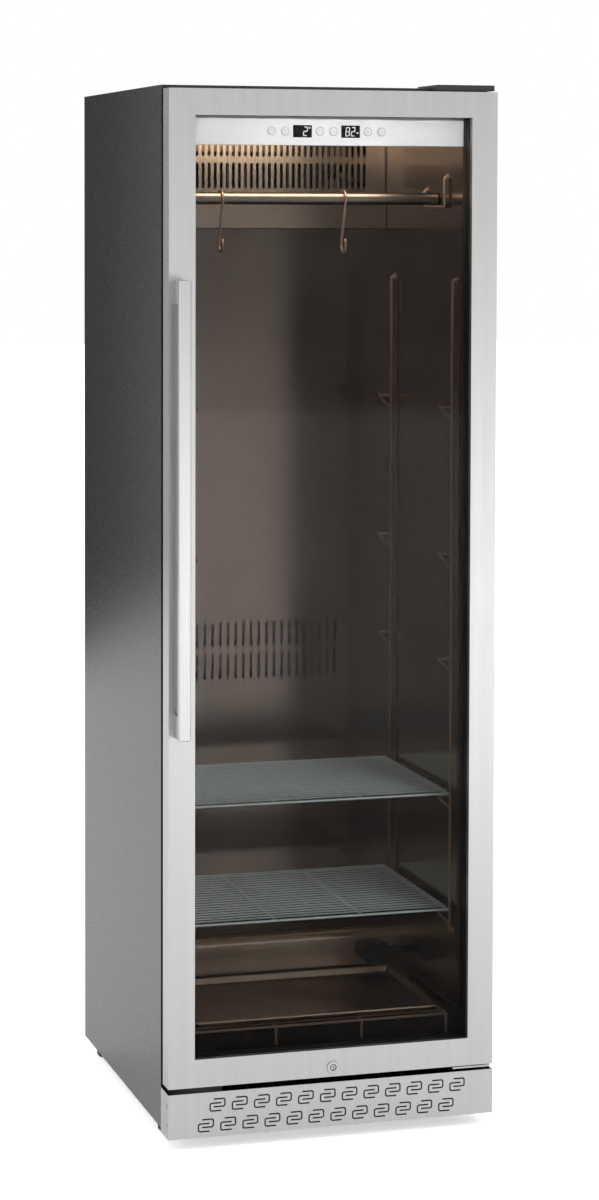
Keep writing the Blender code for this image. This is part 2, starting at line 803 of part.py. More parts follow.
def add_inner_liner():
    """Steel tub of the cavity, an open surface thickened outwards."""
    closed = prism("inner_liner", "X", (-INNER_HALF, INNER_HALF), liner_profile())
    shape = bmesh.new()
    shape.from_mesh(closed)
    mouth = FRAME_BACK + GAP + WELD
    front = [face for face in shape.faces if all(vert.co.y < mouth for vert in face.verts)]
    bmesh.ops.delete(shape, geom=front, context="FACES_ONLY")
    shape.to_mesh(closed)
    shape.free()
    thicken(add("inner_liner", closed, "liner_steel"), SHEET, 1)


def add_front_frame():
    """Breaker strip that joins the case and the liner round the door opening."""
    outer = rectangle((-BODY_HALF, BODY_HALF), (FOAM_BOTTOM, BODY_TOP))
    opening = rectangle((-INNER_HALF, INNER_HALF), (CAVITY_FLOOR, CEILING))
    mesh = prism("front_frame", "Y", (CASE_FRONT, FRAME_BACK), outer, opening)
    add("front_frame", mesh, "black_plastic")


def foot_places():
    """Name and centre of each foot."""
    for depth_name, y in (("front", FOOT_FRONT), ("rear", FOOT_REAR)):
        for side_name, x in (("left", -FOOT_X), ("right", FOOT_X)):
            yield f"foot_{depth_name}_{side_name}", x, y


def add_base_plate():
    sheet = rectangle((-BODY_HALF, BODY_HALF), (CASE_FRONT, PANEL_FRONT - GAP))
    holes = [circle(x, y, FOOT_STUD + FOOT_CLEARANCE) for _, x, y in foot_places()]
    mesh = prism("base_plate", "Z", (CASE_BOTTOM, BASE_TOP), sheet, *holes)
    add("base_plate", mesh, "zinc_steel")


def add_feet():
    """Levelling feet: a turned pad with a nut collar under the base plate and a threaded stud."""
    nut_top = CASE_BOTTOM - GAP
    nut_bottom = nut_top - FOOT_NUT_HEIGHT
    bulge = (FOOT_RADIUS + FOOT_SOLE) / 2
    low = FOOT_HEIGHT / 4
    profile = [
        (0, FOOT_STUD_TOP),
        (FOOT_STUD, FOOT_STUD_TOP),
        (FOOT_STUD, nut_top),
        (FOOT_NUT, nut_top),
        (FOOT_NUT, nut_bottom),
        (bulge, FOOT_HEIGHT),
        (FOOT_RADIUS, FOOT_HEIGHT - low),
        (FOOT_RADIUS, low),
        (FOOT_SOLE, 0),
        (0, 0),
    ]
    for name, x, y in foot_places():
        mesh = turned(name, profile, upright(x, y, 0), SMALL_TURN_STEPS)
        smooth(add(name, mesh, "black_plastic", (x, y, 0)))


def meander(u, v):
    """Two interlocking hooks that make one motif of the kick plate."""
    right = HOOK_WIDTH - STROKE / 2
    rise = (HOOK_HEIGHT - STROKE) / 2
    hook = [
        (0, rise),
        (right - STROKE_CHAMFER, rise),
        (right, rise - STROKE_CHAMFER),
        (right, STROKE_CHAMFER - rise),
        (right - STROKE_CHAMFER, -rise),
        (0, -rise),
    ]
    across = MEANDER_WIDTH / 2 - HOOK_WIDTH
    up = (MEANDER_HEIGHT - HOOK_HEIGHT) / 2
    upper = [(u + across + x, v + up + y) for x, y in hook]
    lower = [(u - across - x, v - up - y) for x, y in hook]
    return [stroke(upper, STROKE), stroke(lower, STROKE)]


def add_kick_plate():
    """Folded plinth of sheet steel with two rows of meander slots."""
    back = CASE_FRONT - GAP
    path = [(HALF, back), (HALF, DOOR_FRONT), (-HALF, DOOR_FRONT), (-HALF, back)]
    mesh = prism("kick_plate", "Z", (FLOOR_CLEARANCE, KICK_TOP), folded(path, KICK_SHEET))
    plate = add("kick_plate", mesh, "brushed_steel")
    motifs = []
    rows = ((UPPER_ROW_X, UPPER_ROW_HEIGHT), (LOWER_ROW_X, LOWER_ROW_HEIGHT))
    steps = int((HALF - LAST_MEANDER_MARGIN - UPPER_ROW_X) / MEANDER_PITCH)
    for first, height in rows:
        for step in range(steps + 1):
            motifs += meander(first + step * MEANDER_PITCH, FLOOR_CLEARANCE + height)
    span = (DOOR_FRONT - OVERRUN, DOOR_FRONT + OVERRUN)
    cut(plate, prism("kick_slots", "Y", span, *motifs))


def add_compressor():
    """Hermetic compressor shell on its mounting flange."""
    bottom = BASE_TOP + GAP
    top = bottom + COMPRESSOR_HEIGHT
    seam = bottom + COMPRESSOR_SEAM_HEIGHT
    shoulder = top - COMPRESSOR_SHOULDER
    dome = [
        (COMPRESSOR_RADIUS * sin(radians(angle)), shoulder + COMPRESSOR_SHOULDER * cos(radians(angle)))
        for angle in range(0, 91, 15)
    ]
    profile = dome + [
        (COMPRESSOR_RADIUS, seam + COMPRESSOR_SEAM),
        (COMPRESSOR_RADIUS + COMPRESSOR_SEAM, seam + COMPRESSOR_SEAM),
        (COMPRESSOR_RADIUS + COMPRESSOR_SEAM, seam),
        (COMPRESSOR_RADIUS, seam),
        (COMPRESSOR_RADIUS, bottom + COMPRESSOR_FLANGE_THICKNESS),
        (COMPRESSOR_FLANGE, bottom + COMPRESSOR_FLANGE_THICKNESS),
        (COMPRESSOR_FLANGE, bottom),
        (0, bottom),
    ]
    mesh = turned("compressor", profile, upright(COMPRESSOR_X, COMPRESSOR_Y, 0))
    smooth(add("compressor", mesh, "black_enamel"))


def comb(left, right, back, depth, spine, fins, fin):
    """Outline of a finned block in the XY plane, its fins towards the door."""
    root = back - spine
    tip = back - depth
    pitch = (right - left - fin) / (fins - 1)
    outline = [(right, back), (left, back)]
    for step in range(fins):
        start = left + step * pitch
        outline += [(start, root), (start, tip), (start + fin, tip), (start + fin, root)]
    return outline


def add_condenser():
    back = CONDENSER_FRONT + CONDENSER_DEPTH
    outline = comb(
        CONDENSER_LEFT, CONDENSER_RIGHT, back, CONDENSER_DEPTH, CONDENSER_SPINE,
        CONDENSER_FINS, CONDENSER_FIN_THICKNESS,
    )
    bottom = BASE_TOP + GAP
    mesh = prism("condenser", "Z", (bottom, bottom + CONDENSER_HEIGHT), outline)
    add("condenser", mesh, "aluminium")


def add_evaporator_coil():
    outline = comb(
        COIL_LEFT, COIL_RIGHT, REAR_WALL - GAP, COIL_DEPTH, COIL_SPINE,
        COIL_FINS, COIL_FIN_THICKNESS,
    )
    mesh = prism("evaporator_coil", "Z", (COIL_BOTTOM, COIL_TOP), outline)
    add("evaporator_coil", mesh, "aluminium")


def motor_mesh(name, radius, length, place):
    """Motor drum with its shaft."""
    edge = BLADE_THICKNESS
    profile = [
        (0, length + SHAFT_LENGTH),
        (SHAFT_RADIUS, length + SHAFT_LENGTH),
        (SHAFT_RADIUS, length),
        (radius - edge, length),
        (radius, length - edge),
        (radius, 0),
        (0, 0),
    ]
    return turned(name, profile, place, SMALL_TURN_STEPS)


def add_fan(name, radius, x, y, z):
    """Fan with its hub over a shaft that comes from behind. Its origin is on the shaft."""
    front = y - FAN_DEPTH
    hub = rods(name, SMALL_TURN_STEPS, ((x, y, z), (x, front, z), FAN_HUB))
    fan = add(name, hub, "black_plastic", (x, y, z))
    shape = bmesh.new()
    inner = FAN_HUB - BLADE_ROOT
    length = radius - inner
    for step in range(FAN_BLADES):
        around = Matrix.Rotation(2 * pi * step / FAN_BLADES, 4, "Y")
        out = Matrix.Translation((inner + length / 2, 0, 0))
        twist = Matrix.Rotation(radians(BLADE_TWIST), 4, "X")
        size = Matrix.Diagonal((length, BLADE_THICKNESS, BLADE_WIDTH, 1))
        middle = Matrix.Translation((x, (y + front) / 2, z))
        bmesh.ops.create_cube(shape, size=1, matrix=middle @ around @ out @ twist @ size)
    bore_end = y + SHAFT_CLEARANCE - SHAFT_LENGTH - GAP
    bore = ((x, y + OVERRUN, z), (x, bore_end, z), SHAFT_RADIUS + GAP)
    join(fan, finished(shape, f"{name}_blades"))
    cut(fan, rods(f"{name}_bore", SMALL_TURN_STEPS, bore))


def add_condenser_fan():
    """Fan behind the condenser, on a motor that stands on the base plate."""
    x = CONDENSER_FAN_X
    fan_back = CONDENSER_FRONT + CONDENSER_DEPTH + CONDENSER_FAN_SPACE + FAN_DEPTH
    z = BASE_TOP + GAP + CONDENSER_HEIGHT / 2
    add_fan("condenser_fan", CONDENSER_FAN_RADIUS, x, fan_back, z)
    motor_front = fan_back + SHAFT_CLEARANCE
    place = facing_front(x, motor_front + CONDENSER_MOTOR_LENGTH, z)
    mesh = motor_mesh(
        "condenser_fan_motor", CONDENSER_MOTOR_RADIUS, CONDENSER_MOTOR_LENGTH, place
    )
    motor = add("condenser_fan_motor", mesh, "zinc_steel")
    inset = CONDENSER_MOTOR_LENGTH / 4
    side = MOTOR_POST_WIDTH / 2
    post = (
        (x - side, x + side),
        (motor_front + inset, motor_front + CONDENSER_MOTOR_LENGTH - inset),
        (BASE_TOP + GAP, z),
    )
    join(motor, boxes("motor_post", post))


def add_evaporator_fan():
    """Fan beside the coil, on a motor fixed to the rear wall."""
    x, z = EVAPORATOR_FAN_X, EVAPORATOR_FAN_Z
    motor_back = REAR_WALL - GAP
    place = facing_front(x, motor_back, z)
    mesh = motor_mesh(
        "evaporator_fan_motor", EVAPORATOR_MOTOR_RADIUS, EVAPORATOR_MOTOR_LENGTH, place
    )
    smooth(add("evaporator_fan_motor", mesh, "zinc_steel"))
    fan_back = motor_back - EVAPORATOR_MOTOR_LENGTH - SHAFT_CLEARANCE
    add_fan("evaporator_fan", EVAPORATOR_FAN_RADIUS, x, fan_back, z)


def add_evaporator_cover():
    """Slotted cover with a plain band along its foot, folded back to the rear wall."""
    band_front = COVER_FRONT - BAND_PROUD
    band_top = COVER_BOTTOM + BAND_HEIGHT
    path = [
        (REAR_WALL - GAP, COVER_BOTTOM),
        (band_front, COVER_BOTTOM),
        (band_front, band_top),
        (COVER_FRONT, band_top),
        (COVER_FRONT, CEILING - GAP),
    ]
    reach = INNER_HALF - GAP
    mesh = prism("evaporator_cover", "X", (-reach, reach), folded(path, COVER_SHEET))
    cover = add("evaporator_cover", mesh, "liner_steel")
    slotted = INNER_HALF - COVER_SLOT_MARGIN
    slots = []
    for height in (COVER_LOW_ROW, COVER_LOW_ROW + COVER_ROW_RISE):
        slots += slot_row(slotted, COVER_PITCH, height, COVER_SLOT_WIDTH, COVER_SLOT_HEIGHT)
    span = (COVER_FRONT - OVERRUN, COVER_FRONT + OVERRUN)
    cut(cover, prism("cover_slots", "Y", span, *slots))


def add_rear_duct_panel():
    """Panel over the air duct, with two rows of slots."""
    reach = INNER_HALF - GAP
    sheet = rectangle((-reach, reach), (STEP_TOP + GAP, DUCT_TOP + DUCT_LAP))
    slotted = INNER_HALF - DUCT_SLOT_MARGIN
    slots = []
    for height in (DUCT_LOW_ROW, DUCT_LOW_ROW + DUCT_ROW_RISE):
        slots += slot_row(slotted, DUCT_PITCH, height, DUCT_SLOT_WIDTH, DUCT_SLOT_HEIGHT)
    back = REAR_WALL - GAP
    mesh = prism("rear_duct_panel", "Y", (back - DUCT_SHEET, back), sheet, *slots)
    add("rear_duct_panel", mesh, "liner_steel")


def add_light_bar():
    top = CEILING - GAP
    bottom = top - LIGHT_DROP
    outline = [
        (LIGHT_Y - LIGHT_FACE_WIDTH / 2, bottom),
        (LIGHT_Y + LIGHT_FACE_WIDTH / 2, bottom),
        (LIGHT_Y + LIGHT_TOP_WIDTH / 2, top),
        (LIGHT_Y - LIGHT_TOP_WIDTH / 2, top),
    ]
    mesh = prism("light_bar", "X", (-LIGHT_HALF, LIGHT_HALF), outline)
    add("light_bar", mesh, "light_cover")


def button_places():
    """Centres of the buttons along the control panel."""
    groups = (-BUTTON_GROUP, 0, BUTTON_GROUP)
    return [group + side for group in groups for side in (-BUTTON_SPREAD, BUTTON_SPREAD)]


def add_control_panel():
    """Panel body with a pocket for each display and each button."""
    side = INNER_HALF - PANEL_SIDE_GAP
    block = ((-side, side), (CONTROL_FRONT, CONTROL_FRONT + PANEL_DEPTH), (CONTROL_BOTTOM, CONTROL_TOP))
    panel = add("control_panel", boxes("control_panel", block), "panel_plastic")
    half_width = DISPLAY_WIDTH / 2 + GAP
    half_height = DISPLAY_HEIGHT / 2 + GAP
    span = (CONTROL_FRONT - OVERRUN, CONTROL_FRONT + DISPLAY_POCKET)
    up = (CONTROL_CENTRE - half_height, CONTROL_CENTRE + half_height)
    pockets = [((x - half_width, x + half_width), span, up) for x in (-DISPLAY_X, DISPLAY_X)]
    cut(panel, boxes("display_pockets", *pockets))
    start, end = CONTROL_FRONT - OVERRUN, CONTROL_FRONT + BUTTON_POCKET
    bores = [
        ((x, start, CONTROL_CENTRE), (x, end, CONTROL_CENTRE), BUTTON_RADIUS + GAP)
        for x in button_places()
    ]
    cut(panel, rods("button_pockets", SMALL_TURN_STEPS, *bores))


def add_displays():
    back = CONTROL_FRONT + DISPLAY_POCKET - GAP
    up = (CONTROL_CENTRE - DISPLAY_HEIGHT / 2, CONTROL_CENTRE + DISPLAY_HEIGHT / 2)
    for name, x in (("display_temperature", -DISPLAY_X), ("display_humidity", DISPLAY_X)):
        across = (x - DISPLAY_WIDTH / 2, x + DISPLAY_WIDTH / 2)
        add(name, boxes(name, (across, (back - DISPLAY_THICKNESS, back), up)), "display")


def add_buttons():
    """Round push buttons that sink into the panel."""
    profile = [
        (0, BUTTON_PROUD),
        (BUTTON_RADIUS - BUTTON_EDGE, BUTTON_PROUD),
        (BUTTON_RADIUS, BUTTON_PROUD - BUTTON_EDGE),
        (BUTTON_RADIUS, BUTTON_PROUD - BUTTON_LENGTH),
        (0, BUTTON_PROUD - BUTTON_LENGTH),
    ]
    for number, x in enumerate(button_places(), 1):
        place = facing_front(x, CONTROL_FRONT, CONTROL_CENTRE)
        mesh = turned(f"button_{number}", profile, place, SMALL_TURN_STEPS)
        origin = (x, CONTROL_FRONT, CONTROL_CENTRE)
        smooth(add(f"button_{number}", mesh, "panel_plastic", origin))


def add_rail_brackets():
    """Bent wire on each side wall that carries an end of the hanging rail."""
    for name, side in (("rail_bracket_left", -1), ("rail_bracket_right", 1)):
        wall = side * (INNER_HALF - GAP)
        x = side * (INNER_HALF - BRACKET_OFF_WALL)
        path = [
            (wall, BRACKET_FRONT, BRACKET_FRONT_TOP),
            (x, BRACKET_FRONT, BRACKET_FRONT_TOP),
            (x, BRACKET_FRONT, BRACKET_BASE),
            (x, BRACKET_REAR, BRACKET_BASE),
            (x, BRACKET_REAR, BRACKET_REAR_TOP),
            (wall, BRACKET_REAR, BRACKET_REAR_TOP),
        ]
        mesh = tubes(name, BRACKET_WIRE, rounded(path, WIRE_BEND))
        smooth(add(name, mesh, "polished_steel"))


def add_hanging_rail():
    """Round rail across the cavity, its ends chamfered. Its origin is on its axis."""
    reach = INNER_HALF - RAIL_END_GAP
    profile = [
        (0, reach),
        (RAIL_RADIUS - RAIL_CHAMFER, reach),
        (RAIL_RADIUS, reach - RAIL_CHAMFER),
        (RAIL_RADIUS, RAIL_CHAMFER - reach),
        (RAIL_RADIUS - RAIL_CHAMFER, -reach),
        (0, -reach),
    ]
    place = Matrix.Translation((0, RAIL_Y, RAIL_Z)) @ Matrix.Rotation(pi / 2, 4, "Y")
    mesh = turned("hanging_rail", profile, place, RAIL_SIDES)
    rail = add("hanging_rail", mesh, "polished_steel", (0, RAIL_Y, RAIL_Z))
    smooth(rail)
    return rail


def hook_path(x):
    """S-shaped line of a hook: a bowl over the rail, a slanting shank, and a bowl below."""
    lean = degrees(asin(2 * HOOK_BOWL / HOOK_DROP))
    upper = [-HOOK_TIP + (180 + lean + HOOK_TIP) * step / BOWL_STEPS for step in range(BOWL_STEPS + 1)]
    lower = [lean - (180 + lean + HOOK_TIP) * step / BOWL_STEPS for step in range(BOWL_STEPS + 1)]
    path = [(RAIL_Z, angle) for angle in upper] + [(RAIL_Z - HOOK_DROP, angle) for angle in lower]
    return [
        (x, RAIL_Y + HOOK_BOWL * cos(radians(angle)), height + HOOK_BOWL * sin(radians(angle)))
        for height, angle in path
    ]


def add_hooks(rail):
    """Meat hooks that swing on the rail. Their origins are on its axis."""
    for name, x in (("hook_left", HOOK_LEFT_X), ("hook_right", HOOK_RIGHT_X)):
        mesh = tubes(name, HOOK_WIRE, hook_path(x))
        hook = add(name, mesh, "polished_steel", (x, RAIL_Y, RAIL_Z))
        smooth(hook)
        hang(hook, rail)


def arm_height(shelf):
    """Height of the support arms' middle line under a shelf."""
    return shelf - CROSS_DROP - CROSS_WIRE - GAP - ARM_WIRE


def add_supports():
    """Upright wires with braced arms. The lower two arms carry the shelves."""
    rise = SUPPORT_TOP - SUPPORT_BOTTOM
    heights = [SUPPORT_BOTTOM + share * rise for share in FREE_ARM_SHARES]
    heights += [arm_height(UPPER_SHELF), arm_height(LOWER_SHELF)]
    for side_name, side in (("left", -1), ("right", 1)):
        wall = side * (INNER_HALF - GAP)
        x = side * (INNER_HALF - SUPPORT_OFF_WALL)
        tip = x - side * ARM_REACH
        for depth_name, y in (("front", SUPPORT_FRONT), ("rear", SUPPORT_REAR)):
            path = [(wall, y, SUPPORT_TOP), (x, y, SUPPORT_TOP), (x, y, SUPPORT_BOTTOM), (wall, y, SUPPORT_BOTTOM)]
            name = f"support_{depth_name}_{side_name}"
            mesh = tubes(name, SUPPORT_WIRE, rounded(path, WIRE_BEND))
            support = add(name, mesh, "polished_steel")
            smooth(support)
            arms = [[(x, y, z), (tip, y, z), (x, y, z - ARM_BRACE)] for z in heights]
            join(support, tubes(f"{name}_arms", ARM_WIRE, *arms, sides=ARM_SIDES))


def wire_runs(front, rear, height, count, inset, half):
    """Thin wires across a shelf, evenly spaced between its front and rear wires."""
    first, last = front + inset, rear - inset
    pitch = (last - first) / (count - 1)
    places = [first + step * pitch for step in range(count)]
    return [((-half, y, height), (half, y, height), SHELF_WIRE) for y in places]


def edge_wires(front, rear, height, half):
    """Thick wires along the front and rear edge of a shelf."""
    return [((-half, y, height), (half, y, height), CROSS_WIRE) for y in (front, rear)]


def cross_places():
    """Places across a shelf of the wires that run front to back."""
    outer = SHELF_HALF - CROSS_INSET
    pitch = 2 * outer / (CROSS_WIRES - 1)
    return [step * pitch - outer for step in range(CROSS_WIRES)]


def add_shelf(name, height):
    """Wire shelf: thin wires across, over four wires that run front to back."""
    low = height - CROSS_DROP
    across = wire_runs(SHELF_FRONT, SHELF_REAR, height, SHELF_WIRES, SHELF_WIRE_INSET, SHELF_HALF)
    shelf = add(name, rods(name, THIN_WIRE_SIDES, *across), "polished_steel", (0, 0, height))
    smooth(shelf)
    near, far = SHELF_FRONT + WIRE_LAP, SHELF_REAR - WIRE_LAP
    runs = [((x, near, low), (x, far, low), CROSS_WIRE) for x in cross_places()]
    join(shelf, rods(f"{name}_cross_wires", WIRE_SIDES, *runs))
    edges = edge_wires(SHELF_FRONT, SHELF_REAR, low + EDGE_RISE, SHELF_HALF)
    join(shelf, rods(f"{name}_edge_wires", WIRE_SIDES, *edges))


def add_tray_rack():
    """Low wire rack: its cross wires bend down to the floor as legs."""
    low = RACK_TOP - CROSS_DROP
    foot = CAVITY_FLOOR + GAP
    across = wire_runs(SHELF_FRONT, RACK_REAR, RACK_TOP, RACK_WIRES, SHELF_WIRE_INSET, SHELF_HALF)
    mesh = rods("tray_rack", THIN_WIRE_SIDES, *across)
    rack = add("tray_rack", mesh, "polished_steel", (0, 0, RACK_TOP))
    smooth(rack)
    near, far = SHELF_FRONT + RACK_LEG_INSET, RACK_REAR - RACK_LEG_INSET
    paths = []
    for x in cross_places():
        path = [(x, near, foot), (x, near, low), (x, far, low), (x, far, foot)]
        paths.append(rounded(path, WIRE_BEND))
    join(rack, tubes("rack_legs", CROSS_WIRE, *paths))
    edges = edge_wires(SHELF_FRONT, RACK_REAR, low + EDGE_RISE, SHELF_HALF)
    join(rack, rods("rack_edge_wires", WIRE_SIDES, *edges))
    return rack


def add_tray(rack):
    """Shallow drip tray with sloping walls and a flat rim, an open surface thickened upwards."""
    floor = RACK_TOP + SHELF_WIRE + GAP
    rim_outline = rectangle((-TRAY_HALF, TRAY_HALF), (TRAY_FRONT, TRAY_REAR))
    inner_outline = grown(rim_outline, -TRAY_RIM)
    floor_outline = grown(inner_outline, -TRAY_SLOPE)
    shape = bmesh.new()
    rings = []
    for outline, height in (
        (floor_outline, floor), (inner_outline, floor + TRAY_DEPTH), (rim_outline, floor + TRAY_DEPTH)
    ):
        rings.append([shape.verts.new((*point, height)) for point in outline])
    shape.faces.new(rings[0])
    for low_ring, high_ring in zip(rings, rings[1:]):
        for step in range(4):
            after = (step + 1) % 4
            corners = (low_ring[step], low_ring[after], high_ring[after], high_ring[step])
            shape.faces.new(corners)
    mesh = bpy.data.meshes.new("tray")
    bmesh.ops.recalc_face_normals(shape, faces=shape.faces)
    shape.to_mesh(mesh)
    shape.free()
    tray = add("tray", mesh, "polished_steel", (0, 0, floor))
    thicken(tray, TRAY_SHEET, 1 if mesh.polygons[0].normal.z > 0 else -1)
    hang(tray, rack)


def add_drain_outlet():
    """Drain housing on the face of the step, with an arm to the side wall."""
    right = DRAIN_LEFT + DRAIN_WIDTH
    back = STEP_FRONT - GAP
    front = back - DRAIN_DEPTH
    top = DRAIN_BOTTOM + DRAIN_HEIGHT
    outline = [
        (DRAIN_LEFT + DRAIN_CHAMFER, DRAIN_BOTTOM),
        (right, DRAIN_BOTTOM),
        (right, top),
        (DRAIN_LEFT + DRAIN_CHAMFER, top),
        (DRAIN_LEFT, top - DRAIN_CHAMFER),
        (DRAIN_LEFT, DRAIN_BOTTOM + DRAIN_CHAMFER),
    ]
    drain = add("drain_outlet", prism("drain_outlet", "Y", (front, back), outline), "black_plastic")
    arm = (
        (right - OVERRUN, INNER_HALF - GAP),
        (back - DRAIN_ARM_DEPTH, back),
        (DRAIN_ARM_BOTTOM, DRAIN_ARM_BOTTOM + DRAIN_ARM_HEIGHT),
    )
    join(drain, boxes("drain_arm", arm))


def door_outline():
    return rectangle((-HALF, HALF), (DOOR_BOTTOM, DOOR_TOP))


def window_outline():
    return rectangle((-WINDOW_HALF, WINDOW_HALF), (WINDOW_BOTTOM, WINDOW_TOP))


def hinge_bores(name):
    """Cutter for the holes that take the hinge pins, in the top and bottom of the door."""
    reach = PIN_DEPTH + OVERRUN
    radius = PIN_RADIUS + PIN_CLEARANCE
    top = ((HINGE_X, HINGE_Y, DOOR_TOP - reach), (HINGE_X, HINGE_Y, DOOR_TOP + OVERRUN), radius)
    bottom = ((HINGE_X, HINGE_Y, DOOR_BOTTOM - OVERRUN), (HINGE_X, HINGE_Y, DOOR_BOTTOM + reach), radius)
    return rods(name, SMALL_TURN_STEPS, top, bottom)


def lock_bore(name):
    """Cutter for the hole that takes the lock, through the door."""
    start, end = DOOR_FRONT - OVERRUN, DOOR_BACK + OVERRUN
    run = ((0, start, LOCK_Z), (0, end, LOCK_Z), LOCK_BODY + GAP)
    return rods(name, TURN_STEPS, run)


def add_door_frame():
    """Folded steel skin of the door, open to the back, with a turned-in edge round the glass."""
    mesh = prism("door_frame", "Y", (DOOR_FRONT, DOOR_BACK), door_outline(), window_outline())
    frame = add("door_frame", mesh, "brushed_steel")
    span = (DOOR_FRONT + SKIN, DOOR_BACK + OVERRUN)
    pocket = prism("skin_pocket", "Y", span, grown(door_outline(), -SKIN), grown(window_outline(), SKIN))
    cut(frame, pocket)
    span = (DOOR_FRONT + REVEAL, DOOR_BACK + OVERRUN)
    cut(frame, prism("skin_edge", "Y", span, grown(window_outline(), SKIN + OVERRUN)))
    cut(frame, hinge_bores("skin_hinge_bores"))
    cut(frame, lock_bore("skin_lock_bore"))
    return frame


def add_door_inner_frame():
    """Plastic frame that fills the skin, holds the glass unit and carries the gasket."""
    outer = grown(door_outline(), -SKIN - GAP)
    span = (DOOR_FRONT + SKIN + GAP, DOOR_BACK)
    mesh = prism("door_inner_frame", "Y", span, outer, window_outline())
    frame = add("door_inner_frame", mesh, "black_plastic")
    span = (DOOR_FRONT, PANE_FRONT)
    cut(frame, prism("reveal_space", "Y", span, grown(window_outline(), SKIN + GAP)))
    span = (DOOR_FRONT + REVEAL, LIP_FRONT)
    cut(frame, prism("glass_space", "Y", span, grown(window_outline(), GLASS_LAP + GAP)))
    cut(frame, hinge_bores("frame_hinge_bores"))
    cut(frame, lock_bore("frame_lock_bore"))
    return frame


def add_glass_unit():
    """Two panes with a spacer between their edges."""
    edge = grown(window_outline(), GLASS_LAP)
    outer = prism("outer_glass", "Y", (PANE_FRONT, PANE_FRONT + PANE), edge)
    inner = prism("inner_glass", "Y", (INNER_PANE_FRONT, INNER_PANE_FRONT + PANE), edge)
    span = (SPACER_FRONT, SPACER_FRONT + PANE_SPACE)
    spacer = prism("glass_spacer", "Y", span, edge, window_outline())
    return [
        add("outer_glass", outer, "glass"),
        add("glass_spacer", spacer, "black_plastic"),
        add("inner_glass", inner, "glass"),
    ]


def add_door_gasket():
    """Magnetic seal between the door and the front frame."""
    opening = rectangle((-INNER_HALF, INNER_HALF), (CAVITY_FLOOR, CEILING))
    inner = grown(opening, GASKET_INSET)
    outer = grown(inner, GASKET_WIDTH)
    mesh = prism("door_gasket", "Y", (DOOR_BACK + GAP, CASE_FRONT - GAP), outer, inner)
    return add("door_gasket", mesh, "rubber")


def add_handle():
    """Flat bar on two posts."""
    side = HANDLE_WIDTH / 2
    top = HANDLE_BOTTOM + HANDLE_LENGTH
    bar_back = HANDLE_FRONT + HANDLE_DEPTH
    across = (HANDLE_X - side, HANDLE_X + side)
    block = (across, (HANDLE_FRONT, bar_back), (HANDLE_BOTTOM, top))
    bar = add("handle_bar", boxes("handle_bar", block), "brushed_steel")
    edge = bar.modifiers.new("edge", "BEVEL")
    edge.width = HANDLE_EDGE
    edge.segments = 1
    side = POST_WIDTH / 2
    across = (HANDLE_X - side, HANDLE_X + side)
    deep = (bar_back + GAP, DOOR_FRONT - GAP)
    upper = (across, deep, (top - POST_HEIGHT, top))
    lower = (across, deep, (HANDLE_BOTTOM, HANDLE_BOTTOM + POST_HEIGHT))
    return [
        bar,
        add("handle_post_top", boxes("handle_post_top", upper), "aluminium"),
        add("handle_post_bottom", boxes("handle_post_bottom", lower), "aluminium"),
    ]


def add_lock_barrel():
    """Lock housing with a flange on the door's face."""
    bore = CORE_RADIUS + GAP
    profile = [
        (bore, LOCK_PROUD),
        (LOCK_FLANGE - LOCK_CHAMFER, LOCK_PROUD),
        (LOCK_FLANGE, LOCK_PROUD - LOCK_CHAMFER),
        (LOCK_FLANGE, GAP),
        (LOCK_BODY, GAP),
        (LOCK_BODY, -LOCK_BODY_LENGTH),
        (bore, -LOCK_BODY_LENGTH),
    ]
    place = facing_front(0, DOOR_FRONT, LOCK_Z)
    barrel = add("lock_barrel", turned("lock_barrel", profile, place, ring=True), "polished_steel")
    smooth(barrel)
    return barrel


def add_lock_core():
    """Key cylinder with a keyway, and the cam behind the door that it turns."""
    cam_front = DOOR_THICKNESS + CAM_BEHIND_DOOR
    cam_back = cam_front + CAM_THICKNESS
    profile = [
        (0, CORE_PROUD),
        (CORE_RADIUS, CORE_PROUD),
        (CORE_RADIUS, -LOCK_BODY_LENGTH),
        (CORE_NECK, -LOCK_BODY_LENGTH),
        (CORE_NECK, -cam_back),
        (0, -cam_back),
    ]
    place = facing_front(0, DOOR_FRONT, LOCK_Z)
    mesh = turned("lock_core", profile, place, SMALL_TURN_STEPS)
    core = add("lock_core", mesh, "polished_steel", (0, DOOR_FRONT, LOCK_Z))
    smooth(core)
    side = CAM_HEIGHT / 2
    cam = ((0, CAM_LENGTH), (DOOR_FRONT + cam_front, DOOR_FRONT + cam_back), (LOCK_Z - side, LOCK_Z + side))
    join(core, boxes("lock_cam", cam))
    side = KEYWAY_WIDTH / 2
    front = DOOR_FRONT - CORE_PROUD
    keyway = (
        (-side, side),
        (front - OVERRUN, front + KEYWAY_DEPTH),
        (LOCK_Z - KEYWAY_LENGTH / 2, LOCK_Z + KEYWAY_LENGTH / 2),
    )
    cut(core, boxes("keyway", keyway))
    return core


def add_lock_keeper():
    """Folded lip on the front frame that the cam turns down behind."""
    low = FOAM_BOTTOM + KEEPER_RISE
    high = low + KEEPER_HEIGHT
    back = CASE_FRONT - GAP
    front = DOOR_BACK + KEEPER_CLEARANCE
    path = [(back, high), (back, low), (front, low), (front, high)]
    side = KEEPER_WIDTH / 2
    mesh = prism("lock_keeper", "X", (-side, side), folded(path, KEEPER_SHEET))
    add("lock_keeper", mesh, "zinc_steel")


